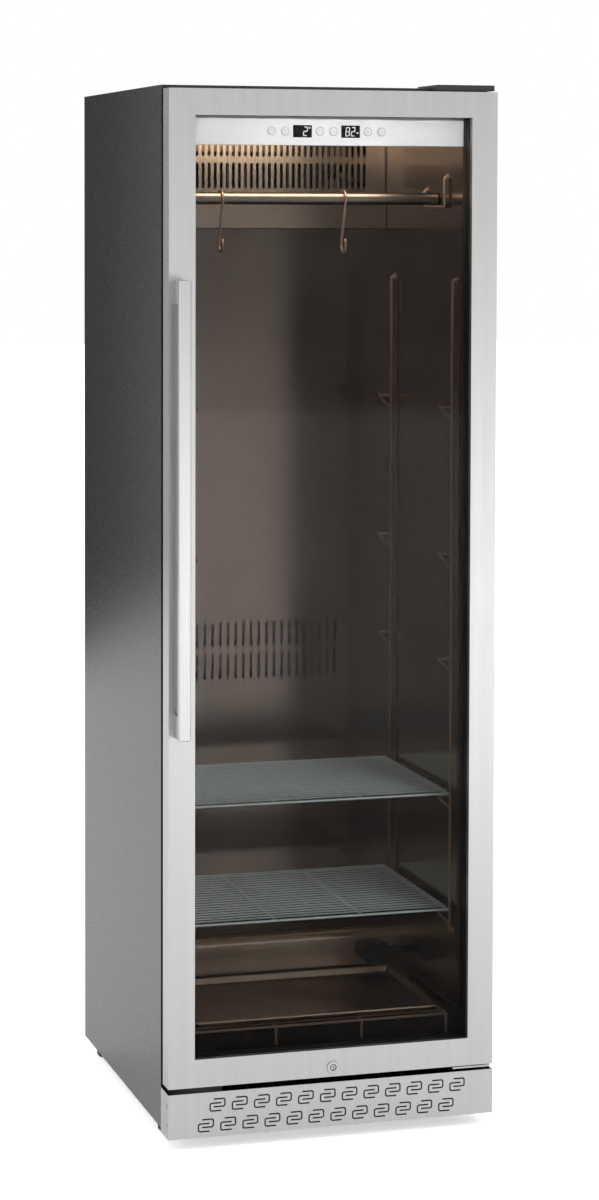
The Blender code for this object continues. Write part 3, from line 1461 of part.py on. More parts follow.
def add_top_hinge():
    """Stepped bracket over the door's corner, with a pin down into the door."""
    front = HINGE_Y - BRACKET_NOSE
    low = DOOR_TOP + BRACKET_OVER_DOOR
    high = low + BRACKET_HEIGHT
    step = CASE_TOP + GAP
    case = CASE_FRONT - GAP
    tail = CASE_FRONT + BRACKET_TAIL
    outline = [(front, low), (case, low), (case, step), (tail, step), (tail, high), (front, high)]
    bracket = add(
        "top_hinge_bracket",
        prism("top_hinge_bracket", "X", (TOP_HINGE_LEFT, TOP_HINGE_RIGHT), outline),
        "black_plastic",
    )
    bore_top = high - BRACKET_SKIN
    bore = ((HINGE_X, HINGE_Y, low - OVERRUN), (HINGE_X, HINGE_Y, bore_top), PIN_RADIUS + GAP)
    cut(bracket, rods("bracket_bore", SMALL_TURN_STEPS, bore))
    run = ((HINGE_X, HINGE_Y, DOOR_TOP - PIN_DEPTH), (HINGE_X, HINGE_Y, bore_top - GAP), PIN_RADIUS)
    mesh = rods("top_hinge_pin", SMALL_TURN_STEPS, run)
    smooth(add("top_hinge_pin", mesh, "polished_steel", (HINGE_X, HINGE_Y, DOOR_TOP)))


def add_bottom_hinge():
    """Angle plate on the front frame, with a collar and a riveted pin up into the door."""
    low = KICK_TOP + PLATE_RISE
    front = HINGE_Y - PLATE_NOSE
    back = CASE_FRONT - GAP
    path = [(back, low + PLATE_FLANGE), (back, low), (front, low)]
    mesh = prism("bottom_hinge_bracket", "X", (PLATE_LEFT, PLATE_RIGHT), folded(path, PLATE_SHEET))
    bracket = add("bottom_hinge_bracket", mesh, "zinc_steel")
    top = DOOR_BOTTOM + PIN_DEPTH
    collar = DOOR_BOTTOM - GAP
    sunk = low + PLATE_SHEET / 2
    profile = [
        (0, top), (PIN_RADIUS, top), (PIN_RADIUS, collar), (COLLAR_RADIUS, collar),
        (COLLAR_RADIUS, sunk), (0, sunk),
    ]
    join(bracket, turned("bottom_hinge_pin", profile, upright(HINGE_X, HINGE_Y, 0), SMALL_TURN_STEPS))


def add_door():
    """The door's pieces, all hung on an empty on the hinge axis."""
    hinge = bpy.data.objects.new("door_hinge", None)
    hinge.location = (HINGE_X, HINGE_Y, DOOR_BOTTOM)
    bpy.data.collections[PARTS].objects.link(hinge)
    pieces = [add_door_frame(), add_door_inner_frame(), *add_glass_unit(), add_door_gasket()]
    pieces += [*add_handle(), add_lock_barrel(), add_lock_core()]
    for piece in pieces:
        hang(piece, hinge)


def main():
    clear_scene()
    new_collection(PARTS, False)
    new_collection(HELPERS, True)
    add_outer_casing()
    add_back_panel()
    add_cord_gland()
    add_insulation_foam()
    add_inner_liner()
    add_front_frame()
    add_base_plate()
    add_feet()
    add_kick_plate()
    add_compressor()
    add_condenser()
    add_condenser_fan()
    add_evaporator_coil()
    add_evaporator_fan()
    add_evaporator_cover()
    add_rear_duct_panel()
    add_light_bar()
    add_control_panel()
    add_displays()
    add_buttons()
    add_rail_brackets()
    add_hooks(add_hanging_rail())
    add_supports()
    add_shelf("shelf_upper", UPPER_SHELF)
    add_shelf("shelf_lower", LOWER_SHELF)
    add_tray(add_tray_rack())
    add_drain_outlet()
    add_top_hinge()
    add_bottom_hinge()
    add_lock_keeper()
    add_door()


main()
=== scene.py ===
"""Dry aging cabinet: finishes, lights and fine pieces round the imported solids.

Metres, +Z up. The door faces -Y. The origin lies on the floor under the middle of the cabinet.
"""

from math import cos, pi, radians, sin

import bmesh
import bpy
import numpy as np
from bpy.props import FloatProperty, FloatVectorProperty, IntProperty, PointerProperty
from mathutils import Matrix, Vector


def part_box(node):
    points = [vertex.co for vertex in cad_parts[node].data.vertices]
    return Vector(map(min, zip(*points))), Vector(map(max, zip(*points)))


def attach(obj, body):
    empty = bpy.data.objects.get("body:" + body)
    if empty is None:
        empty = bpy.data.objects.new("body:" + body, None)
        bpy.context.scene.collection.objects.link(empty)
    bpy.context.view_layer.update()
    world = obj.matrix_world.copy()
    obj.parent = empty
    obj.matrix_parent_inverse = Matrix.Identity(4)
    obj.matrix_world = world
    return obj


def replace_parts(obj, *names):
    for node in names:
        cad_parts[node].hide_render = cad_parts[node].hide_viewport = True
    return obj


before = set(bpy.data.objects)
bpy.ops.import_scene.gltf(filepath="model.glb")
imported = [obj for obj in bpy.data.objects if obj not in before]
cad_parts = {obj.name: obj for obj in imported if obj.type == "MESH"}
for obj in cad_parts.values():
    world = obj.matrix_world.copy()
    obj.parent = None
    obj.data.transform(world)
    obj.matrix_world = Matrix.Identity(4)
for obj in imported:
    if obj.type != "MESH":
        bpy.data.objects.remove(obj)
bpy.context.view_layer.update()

bl_info = {
    "name": "Dry aging cabinet",
    "version": (1, 0, 0),
    "blender": (4, 5, 0),
    "location": "3D View > Sidebar > Cabinet",
    "description": "Finishes, lights and fine pieces of a dry aging cabinet",
    "category": "Object",
}

X_AXIS = (1.0, 0.0, 0.0)
Y_AXIS = (0.0, 1.0, 0.0)
SHARP_FROM = radians(35)

# Places that the solids' boxes don't give
RAIL_Y = -0.1129
RAIL_Z = 1.6503
RAIL_RADIUS = 0.011
HOOK_DROP = 0.082
HOOK_TIP = radians(40)
HOOK_STEPS = 23
BRACKET_ENDS = ((-0.1684, 1.690), (-0.0574, 1.6677))
BRACKET_BASE = 1.6365
BRACKET_OFF_WALL = 0.006
SUPPORT_OFF_WALL = 0.008
SUPPORT_ENDS = (1.505, 0.332)
EYELET_SHARES = ((1, 0), (1, 0.125), (0.8, 0.25), (0.5, 1 / 3))
ARM_REACH = 0.026
ARM_BRACE = 0.024
FREE_ARMS = (1.27802, 1.01398, 0.82595)
SHELF_ARMS = (0.5779, 0.3679)
SHELF_WIRES = 20
RACK_WIRES = 9
SHELF_INSET = 0.012
CROSS_DROP = 0.0033
CROSS_PLACES = np.linspace(-0.239, 0.239, 4)
SHELF_FRONT = -0.2264
SHELF_REAR = 0.1486
RACK_REAR = 0.070
RACK_TOP = 0.186
SHELF_HEIGHTS = {"shelf_upper": 0.586, "shelf_lower": 0.376}
CAVITY_FLOOR = 0.150
INNER_HALF = 0.2555
STEP_FRONT = 0.0836
STEP_TOP = 0.272
STEP_REAR = 0.2548
STEP_RUN = 0.025
STEP_DROP = 0.018
STEP_SHEET = 0.0008
# Black strips of painted shadow under the evaporator cover, and lines of painted shade up its ends
SHADOW_STRIP_FOOT = 0.002
SHADOW_STRIP_GAP = 0.0001
SHADOW_STRIP_REACH = 0.006
SHADE_LINE_WIDTH = 0.0009
SHADE_LINE_RISE = 0.0002
TRAY_SHEET = 0.001
GASKET_WIDTH = 0.014
LOCK_Z = 0.127
# Dark marks of painted shade at the lock: the bar in the key slot and the ring round the flange
KEY_SLOT_SHARES = (0.55, 0.35)
FLANGE_SHADOW_WIDTH = 0.00032
PLINTH_STEEL = 0.0012
MEANDER_PITCH = 0.04006
MEANDERS = 12
MEANDER_ROWS = ((-0.2305, 0.021), (-0.2097, 0.0558))
MEANDER_LINE = (0.0199, 0.0068, 0.0021)
MEANDER_SHIFT = (-0.0066, 0.0036)
FILTER_BEHIND = 0.0018
FILTER_DEPTH = 0.003
FILTER_INSET = (0.010, 0.004)
RETURN_SCREWS = (0.29, 0.71)
SCREW_INSET = 0.012
SIDE_SCREW_TURNED = ((1, 0), (0.9, 0.0002), (0.45, 0.0002), (0.4, -0.0004))
SIDE_SCREW_SUNK = 0.00016
BACK_SCREWS = 6
BACK_SCREW_END = 0.02
RING_GAP = 0.0002
WALL_GAP = 0.0003

# Profile of the tray: how far in with how far below the rim, then how far in with how far up
TRAY_ROLL = ((0.0, 0.003), (0.0004, 0.0006), (0.0014, 0.0), (0.0035, 0.0), (0.0045, 0.0004))
TRAY_FOOT = ((0.0075, 0.0006), (0.0095, 0.0))

# Folds of the door seal: how far in and how deep, as shares of its width and depth
SEAL_FOLDS = ((0, 0), (0.02, 0), (0.10, 0.16), (0.24, 0.28), (0.10, 0.42), (0.10, 0.56), (0, 0.66), (0, 1))

# Streaks to the metre along each axis
DOOR_GRAIN = (900, 900, 9)
HANDLE_GRAIN = (900, 900, 7)


def linear(colour):
    """Linear RGB of an sRGB hex value."""
    channels = np.array([colour >> 16 & 255, colour >> 8 & 255, colour & 255]) / 255
    low = channels / 12.92
    high = ((channels + 0.055) / 1.055) ** 2.4
    return tuple(np.where(channels <= 0.04045, low, high).tolist())


def shade(name, description, colour):
    """Property of a colour."""
    return FloatVectorProperty(
        name=name, description=description, subtype="COLOR", size=3, min=0, max=1, default=linear(colour)
    )


def length(name, description, metres):
    """Property of a length."""
    return FloatProperty(
        name=name, description=description, unit="LENGTH", min=0, default=metres, precision=4
    )


class CabinetSizes(bpy.types.PropertyGroup):
    """Sizes of the fine pieces."""

    shelf_wire: length("Shelf wire", "Radius of the thin shelf wires", 0.00175)
    frame_wire: length("Frame wire", "Radius of the thick wires", 0.0025)
    arm_wire: length("Arm wire", "Radius of the support arms", 0.002)
    arm_nib: length("Arm nib", "Rise of the nib at the tip of a free arm", 0.006)
    wire_bend: length("Wire bend", "Radius of the bends in the wires", 0.005)
    wire_sides: IntProperty(name="Wire sides", description="Sides of a round wire", min=6, default=10)
    eyelet: length("Eyelet", "Radius of the fixing where a wire meets the wall", 0.006)
    screw: length("Screw", "Radius of a screw head", 0.0036)
    screw_rise: length("Screw rise", "Height of a screw head", 0.0016)
    digit: length("Digit", "Height of a digit on the displays", 0.0148)
    digit_stroke: length("Digit stroke", "Width of a segment of a digit", 0.0009)
    plinth_slot: length("Plinth slot", "Width of the meander slots of the kick plate", 0.0027)
    # Outer radius of the dark ring of painted shade in the groove round the lock's core
    lock_shade_ring: length("Lock groove", "Radius of the groove round the lock's core", 0.0060)
    side_screw: length("Side screw", "Radius of a screw head in the kick plate's returns", 0.0040)
    button_ring: length("Button ring", "Radius of the printed ring round a button", 0.0076)
    symbol: length("Symbol", "Radius of a symbol on a button", 0.0030)
    symbol_stroke: length("Symbol stroke", "Line width of a symbol", 0.0005)
    print_height: length("Print height", "Thickness of print and digits", 0.00008)
    tray_corner: length("Tray corner", "Corner radius of the tray's rim", 0.010)


class CabinetColours(bpy.types.PropertyGroup):
    """Colours of the finishes and lamps."""

    door_steel: shade("Door steel", "Brushed stainless steel of the door", 0xAFAFAE)
    # Liner and cover: darker and browner than bare stainless; the darkness is painted shade of the dim
    # cavity, the brown a painted cast of the tinted door glass
    liner: shade("Liner", "Bright stainless sheet of the cavity", 0x736961)
    cover: shade("Evaporator cover", "Paler sheet of the slotted cover", 0x988C80)
    paint: shade("Paint", "Powder coat of the case", 0x303030)
    zinc: shade("Zinc", "Galvanised sheet", 0x8A8D8F)
    # Lit and shaded copies of one stainless wire: the shelf wire's pale blue is a painted cool highlight,
    # the wall wire's dim warm brown is painted shade and warm lamp light
    wire: shade("Shelf wire", "Polished stainless wire of the shelves", 0xD4E0E2)
    shaded_warm_wire: shade("Wall wire", "Stainless wire with a warm heat tint", 0x8C7463)
    # Darker and browner than bare stainless: painted shade and warm lamp light on the rail
    rail: shade("Rail", "Satin stainless tube of the hanging rail", 0x857B73)
    # Browner than bare stainless, like the liner: a painted cast of the tinted door glass
    tray: shade("Tray", "Pressed stainless sheet of the tray and the step", 0x8E7D6C)
    # Partly a real coat, partly painted shade: black so that the slots in front of the coils read dark
    fins: shade("Coated fins", "Black epoxy coat of the coils", 0x131313)
    aluminium: shade("Aluminium", "Handle posts and fins", 0xB4B4B2)
    plastic: shade("Black plastic", "Moulded parts", 0x101011)
    panel: shade("Control panel", "Silver face of the controls", 0xF0F0F0)
    # Also the black of the painted shadow strips under and beside the evaporator cover
    rubber: shade("Gasket", "Door seal", 0x121212)
    foam: shade("Foam", "Rigid foam behind the walls", 0xD8C79A)
    glass: shade("Glass", "What one face of a pane lets through", 0xF2F2F2)
    glow: shade("Digits", "Lit segments of the displays", 0xF4FAFF)
    lamp: shade("Cabinet lamp", "Light inside the cabinet", 0xFFE9CF)
    display: shade("Display", "Black windows of the displays", 0x060607)
    ink: shade("Ink", "Print on and round the buttons", 0x8C9094)
    # Painted shade: the dark of the lock's marks and of the kick plate's side screws
    shade_dark_steel: shade("Dark steel", "Screws in the returns and the lock's recess", 0x4A4A4A)
    enamel: shade("Enamel", "Stove enamel of the compressor", 0x141414)
    # Painted shade: the black behind the kick plate's slots
    filter: shade("Dust filter", "Filter mat behind the kick plate", 0x0A0A0A)


# Materials

def add_node(tree, kind, inputs=None, **options):
    """Add a shader node, set its options, and fill or link its inputs by name or number."""
    made = tree.nodes.new(kind)
    for name, value in options.items():
        setattr(made, name, value)
    for name, value in (inputs or {}).items():
        if isinstance(value, bpy.types.NodeSocket):
            tree.links.new(value, made.inputs[name])
        else:
            made.inputs[name].default_value = value
    return made


def new_material(name, colour, metallic, roughness):
    """A material with its principled shader set, its tree and the shader."""
    material = bpy.data.materials.new(name)
    material.use_nodes = True
    tree = material.node_tree
    shader = tree.nodes["Principled BSDF"]
    shader.inputs["Base Color"].default_value = (*colour, 1)
    shader.inputs["Metallic"].default_value = metallic
    shader.inputs["Roughness"].default_value = roughness
    return material, tree, shader


def scaled_place(tree, scale):
    """Object coordinates stretched by one scale, or by a scale for each axis."""
    place = add_node(tree, "ShaderNodeTexCoord").outputs["Object"]
    scale = np.broadcast_to(scale, 3).tolist()
    return add_node(tree, "ShaderNodeMapping", {"Vector": place, "Scale": scale}).outputs["Vector"]


def noise(tree, scale, detail=2.0, rough=0.5):
    """Noise from 0 to 1, its grain set by the scale."""
    inputs = {"Vector": scaled_place(tree, scale), "Scale": 1.0, "Detail": detail, "Roughness": rough}
    return add_node(tree, "ShaderNodeTexNoise", inputs).outputs["Fac"]


def cells(tree, scale, output):
    """Voronoi cells: the colour of each, or the distance to its middle."""
    inputs = {"Vector": scaled_place(tree, scale), "Scale": 1.0}
    return add_node(tree, "ShaderNodeTexVoronoi", inputs).outputs[output]


def spread(tree, value, low, high, start=0.3, end=0.7):
    """A value turned from one range to another."""
    inputs = {"Value": value, "From Min": start, "From Max": end, "To Min": low, "To Max": high}
    return add_node(tree, "ShaderNodeMapRange", inputs).outputs["Result"]


def shaded(tree, colour, value, low, high):
    """A colour made darker or lighter by a value."""
    inputs = {0: colour, "Scale": spread(tree, value, low, high)}
    return add_node(tree, "ShaderNodeVectorMath", inputs, operation="SCALE").outputs["Vector"]


def bumped(tree, shader, value, strength, distance):
    """Let a value raise the surface."""
    bump = add_node(tree, "ShaderNodeBump", {"Height": value, "Strength": strength, "Distance": distance})
    tree.links.new(bump.outputs["Normal"], shader.inputs["Normal"])


def patterned(tree, shader, colour, tone, tones, roughs=None, bump=None, grain=None):
    """Let a pattern shade the colour between two tones, and let it, or a grain, set the roughness
    between two values and raise the surface by a strength and a distance."""
    tree.links.new(shaded(tree, colour, tone, *tones), shader.inputs["Base Color"])
    if roughs:
        tree.links.new(spread(tree, grain or tone, *roughs), shader.inputs["Roughness"])
    if bump:
        bumped(tree, shader, grain or tone, *bump)


def brushed_stainless(name, colour, grain, roughness=0.34):
    """Stainless sheet ground with a belt along one axis: fine streaks with soft broad bands, drawn
    1 mm wide because the real 0.1 mm grit lines are too fine to show."""
    material, tree, shader = new_material(name, colour, 1.0, roughness)
    fine = noise(tree, grain, 3.0, 0.6)
    broad = noise(tree, np.divide(grain, 14))
    both = add_node(tree, "ShaderNodeMath", {0: fine, 1: broad}, operation="ADD").outputs["Value"]
    half = add_node(tree, "ShaderNodeMath", {0: both, 1: 0.5}, operation="MULTIPLY").outputs["Value"]
    roughs = (roughness - 0.05, roughness + 0.07)
    patterned(tree, shader, colour, half, (0.93, 1.06), roughs, bump=(0.05, 0.0004), grain=fine)
    return material


def bright_sheet(name, colour, roughness):
    """Cold-rolled bright stainless: clear but soft mirror images, with cloudy wipe marks and slight
    waves of the thin sheet."""
    material, tree, shader = new_material(name, colour, 1.0, roughness)
    clouds = noise(tree, (7, 7, 4), 3.0)
    waves = noise(tree, (5, 5, 3), 1.0)
    patterned(tree, shader, colour, clouds, (0.90, 1.08), (roughness - 0.03, roughness + 0.04))
    bumped(tree, shader, waves, 0.10, 0.001)
    return material


def powder_coat(name, colour):
    """Polyester powder coat, satin: the fine orange peel of a baked film."""
    material, tree, shader = new_material(name, colour, 0.0, 0.26)
    shader.inputs["Specular IOR Level"].default_value = 0.25
    peel = noise(tree, 330)
    tone = noise(tree, (5, 5, 3))
    patterned(tree, shader, colour, tone, (0.96, 1.04), (0.22, 0.32), bump=(0.03, 0.0002), grain=peel)
    return material


def galvanised_sheet(name, colour):
    """Hot-dip zinc: flat crystals of about 8 mm that catch the light apart."""
    material, tree, shader = new_material(name, colour, 1.0, 0.42)
    grey = add_node(tree, "ShaderNodeRGBToBW", {"Color": cells(tree, 120, "Color")}).outputs["Val"]
    patterned(tree, shader, colour, grey, (0.82, 1.08), (0.34, 0.52, 0.0, 1.0))
    return material


def grained(name, colour, metallic, scale, tones, roughs, bump=None, detail=2.0):
    """A material with one noise for its colour, its roughness and, where given, its height."""
    material, tree, shader = new_material(name, colour, metallic, sum(roughs) / 2)
    patterned(tree, shader, colour, noise(tree, scale, detail), tones, roughs, bump)
    return material


def drawn_wire(name, colour, metallic=1.0):
    """Electropolished stainless wire: bright, with faint ripple from drawing."""
    return grained(name, colour, metallic, 160, tones=(0.90, 1.05), roughs=(0.28, 0.38))


def satin_aluminium(name, colour):
    """Satin anodised aluminium: soft sheen with a faint blasted grain."""
    return grained(name, colour, 1.0, 900, tones=(0.93, 1.05), roughs=(0.38, 0.48), bump=(0.05, 0.0002))


def moulded_plastic(name, colour, roughness=0.48):
    """Injection-moulded ABS with a spark-eroded grain of about 0.5 mm."""
    material, tree, shader = new_material(name, colour, 0.0, roughness)
    grain = noise(tree, 1400)
    roughs = (roughness - 0.06, roughness + 0.08)
    tone = noise(tree, 40)
    patterned(tree, shader, colour, tone, (0.85, 1.15), roughs, bump=(0.10, 0.0002), grain=grain)
    return material


def soft_rubber(name, colour):
    """Extruded PVC seal: dull, with a light bloom; also the dull black of the painted shadow strips at the
    evaporator cover.
    """
    bloom = (90, 90, 25)
    return grained(name, colour, 0.0, bloom, (0.8, 1.5), (0.62, 0.82), bump=(0.08, 0.0003), detail=3.0)


def lacquered_panel(name, colour):
    """Silver-white lacquer with fine flake over a smooth panel: pale, with a broad soft sheen."""
    return grained(name, colour, 0.15, 700, tones=(0.97, 1.02), roughs=(0.38, 0.48))


def gloss_acrylic(name, colour):
    """Black acrylic window of a display: mirror gloss with the odd fine dust speck."""
    return grained(name, colour, 0.0, 2600, tones=(0.9, 1.3), roughs=(0.05, 0.10), detail=1.0)


def stove_enamel(name, colour):
    """Black stove enamel: glossy, with runs and a slight peel."""
    peel = (120, 120, 40)
    return grained(name, colour, 0.0, peel, (0.8, 1.3), (0.20, 0.34), bump=(0.15, 0.0006))


def rigid_foam(name, colour):
    """Poured polyurethane foam: matte, with cells of about 2 mm."""
    material, tree, shader = new_material(name, colour, 0.0, 0.9)
    patterned(tree, shader, colour, cells(tree, 500, "Distance"), (0.85, 1.1), bump=(0.3, 0.001))
    return material


def open_cell_mat(name, colour):
    """Reticulated black foam of a dust filter: dull, with pores of about 2 mm. Set behind the kick plate,
    its black is painted shade behind the slots.
    """
    material, tree, shader = new_material(name, colour, 0.0, 0.95)
    patterned(tree, shader, colour, cells(tree, 500, "Distance"), (0.6, 1.4), bump=(0.4, 0.001))
    return material


def lit_plastic(name, colour, roughness, grain, strengths):
    """Plastic that glows in its own colour, its strength spread over noise."""
    material, tree, shader = new_material(name, colour, 0.0, roughness)
    shader.inputs["Emission Color"].default_value = (*colour, 1)
    glow = noise(tree, grain, 1.0)
    tree.links.new(spread(tree, glow, *strengths), shader.inputs["Emission Strength"])
    return material


def opal_cover(name, colour):
    """Opal acrylic of the light bar, lit from inside, with faint clouds."""
    return lit_plastic(name, colour, 0.35, (14, 60, 60), (2.0, 2.8))


def lit_segment(name, colour):
    """Light of a segment display, nearly even."""
    return lit_plastic(name, colour, 0.5, 900, (0.75, 0.85))


def pane_glass(name, colour):
    """Float glass with a grey tint and an anti-reflective coat: it lets light straight through, and
    its faint mirror image grows towards a glancing view, as of a body of index 1.10."""
    material = bpy.data.materials.new(name)
    material.use_nodes = True
    tree = material.node_tree
    tree.nodes.remove(tree.nodes["Principled BSDF"])
    streaks = noise(tree, (3, 3, 2), 1.0)
    tint = shaded(tree, colour, streaks, 0.99, 1.0)
    through = add_node(tree, "ShaderNodeBsdfTransparent", {"Color": tint}).outputs["BSDF"]
    gloss = add_node(tree, "ShaderNodeBsdfGlossy", {"Roughness": 0.02}).outputs["BSDF"]
    rim = add_node(tree, "ShaderNodeFresnel", {"IOR": 1.10}).outputs["Fac"]
    both = add_node(tree, "ShaderNodeMixShader", {0: rim, 1: through, 2: gloss}).outputs["Shader"]
    tree.links.new(both, tree.nodes["Material Output"].inputs["Surface"])
    return material


def dress(material, *names):
    """Give CAD nodes a finish."""
    for name in names:
        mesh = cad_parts[name].data
        mesh.materials.clear()
        mesh.materials.append(material)


def sides(*names):
    """Each name with _left and with _right."""
    return [f"{name}_{side}" for name in names for side in ("left", "right")]


def settings(context):
    """The sizes and the colours that the scene keeps."""
    return context.scene.cabinet_sizes, context.scene.cabinet_colours


# Surfaces

def unit(vectors):
    """Vectors divided by their lengths."""
    return vectors / np.linalg.norm(vectors, axis=-1, keepdims=True)


def circle(count):
    """Angles all round, as a column."""
    return np.linspace(0, 2 * pi, count, endpoint=False)[:, None]


def quads(rows, columns, along=False):
    """Faces of a grid of points that is closed across and, if asked, also along."""
    row, column = np.mgrid[0:rows if along else rows - 1, 0:columns]
    here = row * columns
    below = (row + 1) % rows * columns
    after = (column + 1) % columns
    corners = [here + column, here + after, below + after, below + column]
    return np.stack(corners, -1).reshape(-1, 4).tolist()


def capped(rings):
    """Closed surface through a stack of rings, with a flat face on the first and the last."""
    rows, columns = rings.shape[:2]
    last = (rows - 1) * columns
    faces = quads(rows, columns) + [list(range(columns))[::-1], list(range(last, last + columns))]
    return rings.reshape(-1, 3), faces


def directions(path):
    """Unit direction of a path at each point, halfway between its steps there."""
    steps = unit(np.diff(path, axis=0))
    return np.vstack([steps[:1], unit(steps[:-1] + steps[1:]), steps[-1:]])


def piped(path, radius, first, second, count):
    """Round wire: at each point of a path a circle of the radius, spanned by two unit directions."""
    angle = circle(count)
    return capped(path[:, None] + radius * (np.cos(angle) * first + np.sin(angle) * second))


def tube(path, radius, plane, count):
    """Round wire along a flat path, its circles square to the path and the path's plane."""
    path = np.asarray(path, float)
    return piped(path, radius, np.cross(directions(path), plane)[:, None], plane, count)


def spatial_tube(path, radius, count):
    """Round wire along a path in space, its circles spanned from a slant that no part of it follows."""
    along = directions(path)
    first = unit(np.cross(along, (0.30, 0.55, 0.78)))
    return piped(path, radius, first[:, None], np.cross(along, first)[:, None], count)


def turned(profile, place, count=24, ring=False):
    """Profile of (radius, height) turned about Z, then moved to its place; a ring's profile is closed."""
    radius, height = np.asarray(profile, float).T[:, :, None]
    angle = circle(count)[:, 0]
    rings = np.stack(np.broadcast_arrays(radius * np.cos(angle), radius * np.sin(angle), height), -1)
    points, faces = capped(rings)
    if ring:
        faces = quads(len(radius), count, along=True)
    turn = np.array(place)
    return points @ turn[:3, :3].T + turn[:3, 3], faces


def flat_ring(outer, inner, thickness, place, count=32):
    """Flat washer of square section."""
    profile = [(outer, 0), (outer, thickness), (inner, thickness), (inner, 0)]
    return turned(profile, place, count, ring=True)


def extruded(outline, axis, *ends):
    """Flat outline carried along the axis that it is square to, from one end to the other."""
    return capped(np.stack([np.insert(np.asarray(outline, float), axis, end, axis=1) for end in ends]))


def rectangle(left, right, low, high):
    """Corners of an upright rectangle."""
    return [(left, low), (right, low), (right, high), (left, high)]


def bent(path, radius, steps=5):
    """Path with an arc of the radius in each inner corner, found from the two sides' directions."""
    path = np.asarray(path, float)
    corner = path[1:-1]
    back = unit(path[:-2] - corner)
    ahead = unit(path[2:] - corner)
    half = np.arccos(np.clip((back * ahead).sum(-1, keepdims=True), -1, 1)) / 2
    centre = corner + unit(back + ahead) * radius / np.sin(half)
    start = corner + back * radius / np.tan(half) - centre
    end = corner + ahead * radius / np.tan(half) - centre
    share = np.linspace(0, 1, steps + 1)[None, :, None]
    sweep = (pi - 2 * half)[:, None]
    arc = np.sin((1 - share) * sweep) * start[:, None] + np.sin(share * sweep) * end[:, None]
    return np.vstack([path[:1], (centre[:, None] + arc / np.sin(sweep)).reshape(-1, 3), path[-1:]])


def looped(corners, profile):
    """Profile of (outward, depth) carried round a rectangle in the XZ plane, mitred at its corners."""
    left, right, low, high = corners
    outward, depth = np.asarray(profile, float).T
    rings = []
    for x, z in rectangle(left, right, low, high):
        sx = -1 if x == left else 1
        sz = -1 if z == low else 1
        rings.append(np.stack([x + sx * outward, depth, z + sz * outward], -1))
    return np.stack(rings).reshape(-1, 3), quads(len(rings), len(profile), along=True)


def closed_mesh(name, surfaces):
    """Mesh of closed surfaces, their doubles merged and their faces turned out."""
    start = 0
    faces = []
    for points, own_faces in surfaces:
        faces += [[start + corner for corner in face] for face in own_faces]
        start += len(points)
    mesh = bpy.data.meshes.new(name)
    mesh.from_pydata(np.vstack([points for points, _ in surfaces]).tolist(), [], faces)
    shape = bmesh.new()
    shape.from_mesh(mesh)
    bmesh.ops.remove_doubles(shape, verts=shape.verts, dist=1e-6)
    bmesh.ops.recalc_face_normals(shape, faces=shape.faces)
    shape.to_mesh(mesh)
    shape.free()
    return mesh


def add_object(name, data):
    """New object in the scene."""
    obj = bpy.data.objects.new(name, data)
    bpy.context.scene.collection.objects.link(obj)
    return obj


def cut_mesh(mesh, cutters):
    """The mesh less the closed surfaces of its cutters."""
    piece = add_object("sheet", mesh)
    tool = add_object("cutters", closed_mesh("cutters", cutters))
    cut = piece.modifiers.new("cut", "BOOLEAN")
    cut.operation = "DIFFERENCE"
    cut.solver = "EXACT"
    cut.object = tool
    made = bpy.data.meshes.new_from_object(piece.evaluated_get(bpy.context.evaluated_depsgraph_get()))
    for obj in (piece, tool):
        bpy.data.objects.remove(obj)
    return made


def new_piece(name, body, slot, material, *surfaces, mesh=None):
    """One piece made of closed surfaces, or of a mesh, riding on a body."""
    mesh = mesh or closed_mesh(name, surfaces)
    mesh.shade_smooth()
    mesh.set_sharp_from_angle(angle=SHARP_FROM)
    mesh.materials.clear()
    mesh.materials.append(material)
    piece = add_object(name, mesh)
    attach(piece, body)
    return piece


def facing(x, y, z, axis="-Y"):
    """Place of a piece turned about Z, its top towards a side of the cabinet."""
    turn = Vector({"-Y": (0, -1, 0), "Y": (0, 1, 0), "-X": (-1, 0, 0), "X": (1, 0, 0)}[axis])
    return Matrix.Translation((x, y, z)) @ turn.to_track_quat("Z", "Y").to_matrix().to_4x4()


# Wire goods

def frame_wire(path, plane, sizes):
    """Thick wire along a flat path."""
    return tube(path, sizes.frame_wire, plane, sizes.wire_sides)


def thin_wires(rear, height, count, sizes):
    """Straight thin wires from side to side, and below them a thick one along each edge."""
    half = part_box("shelf_upper")[1].x
    low = height - CROSS_DROP
    surfaces = []
    for y in np.linspace(SHELF_FRONT + SHELF_INSET, rear - SHELF_INSET, count):
        path = [(-half, y, height), (half, y, height)]
        surfaces.append(tube(path, sizes.shelf_wire, Y_AXIS, sizes.wire_sides))
    for y in (SHELF_FRONT, rear):
        surfaces.append(frame_wire([(-half, y, low), (half, y, low)], Y_AXIS, sizes))
    return surfaces


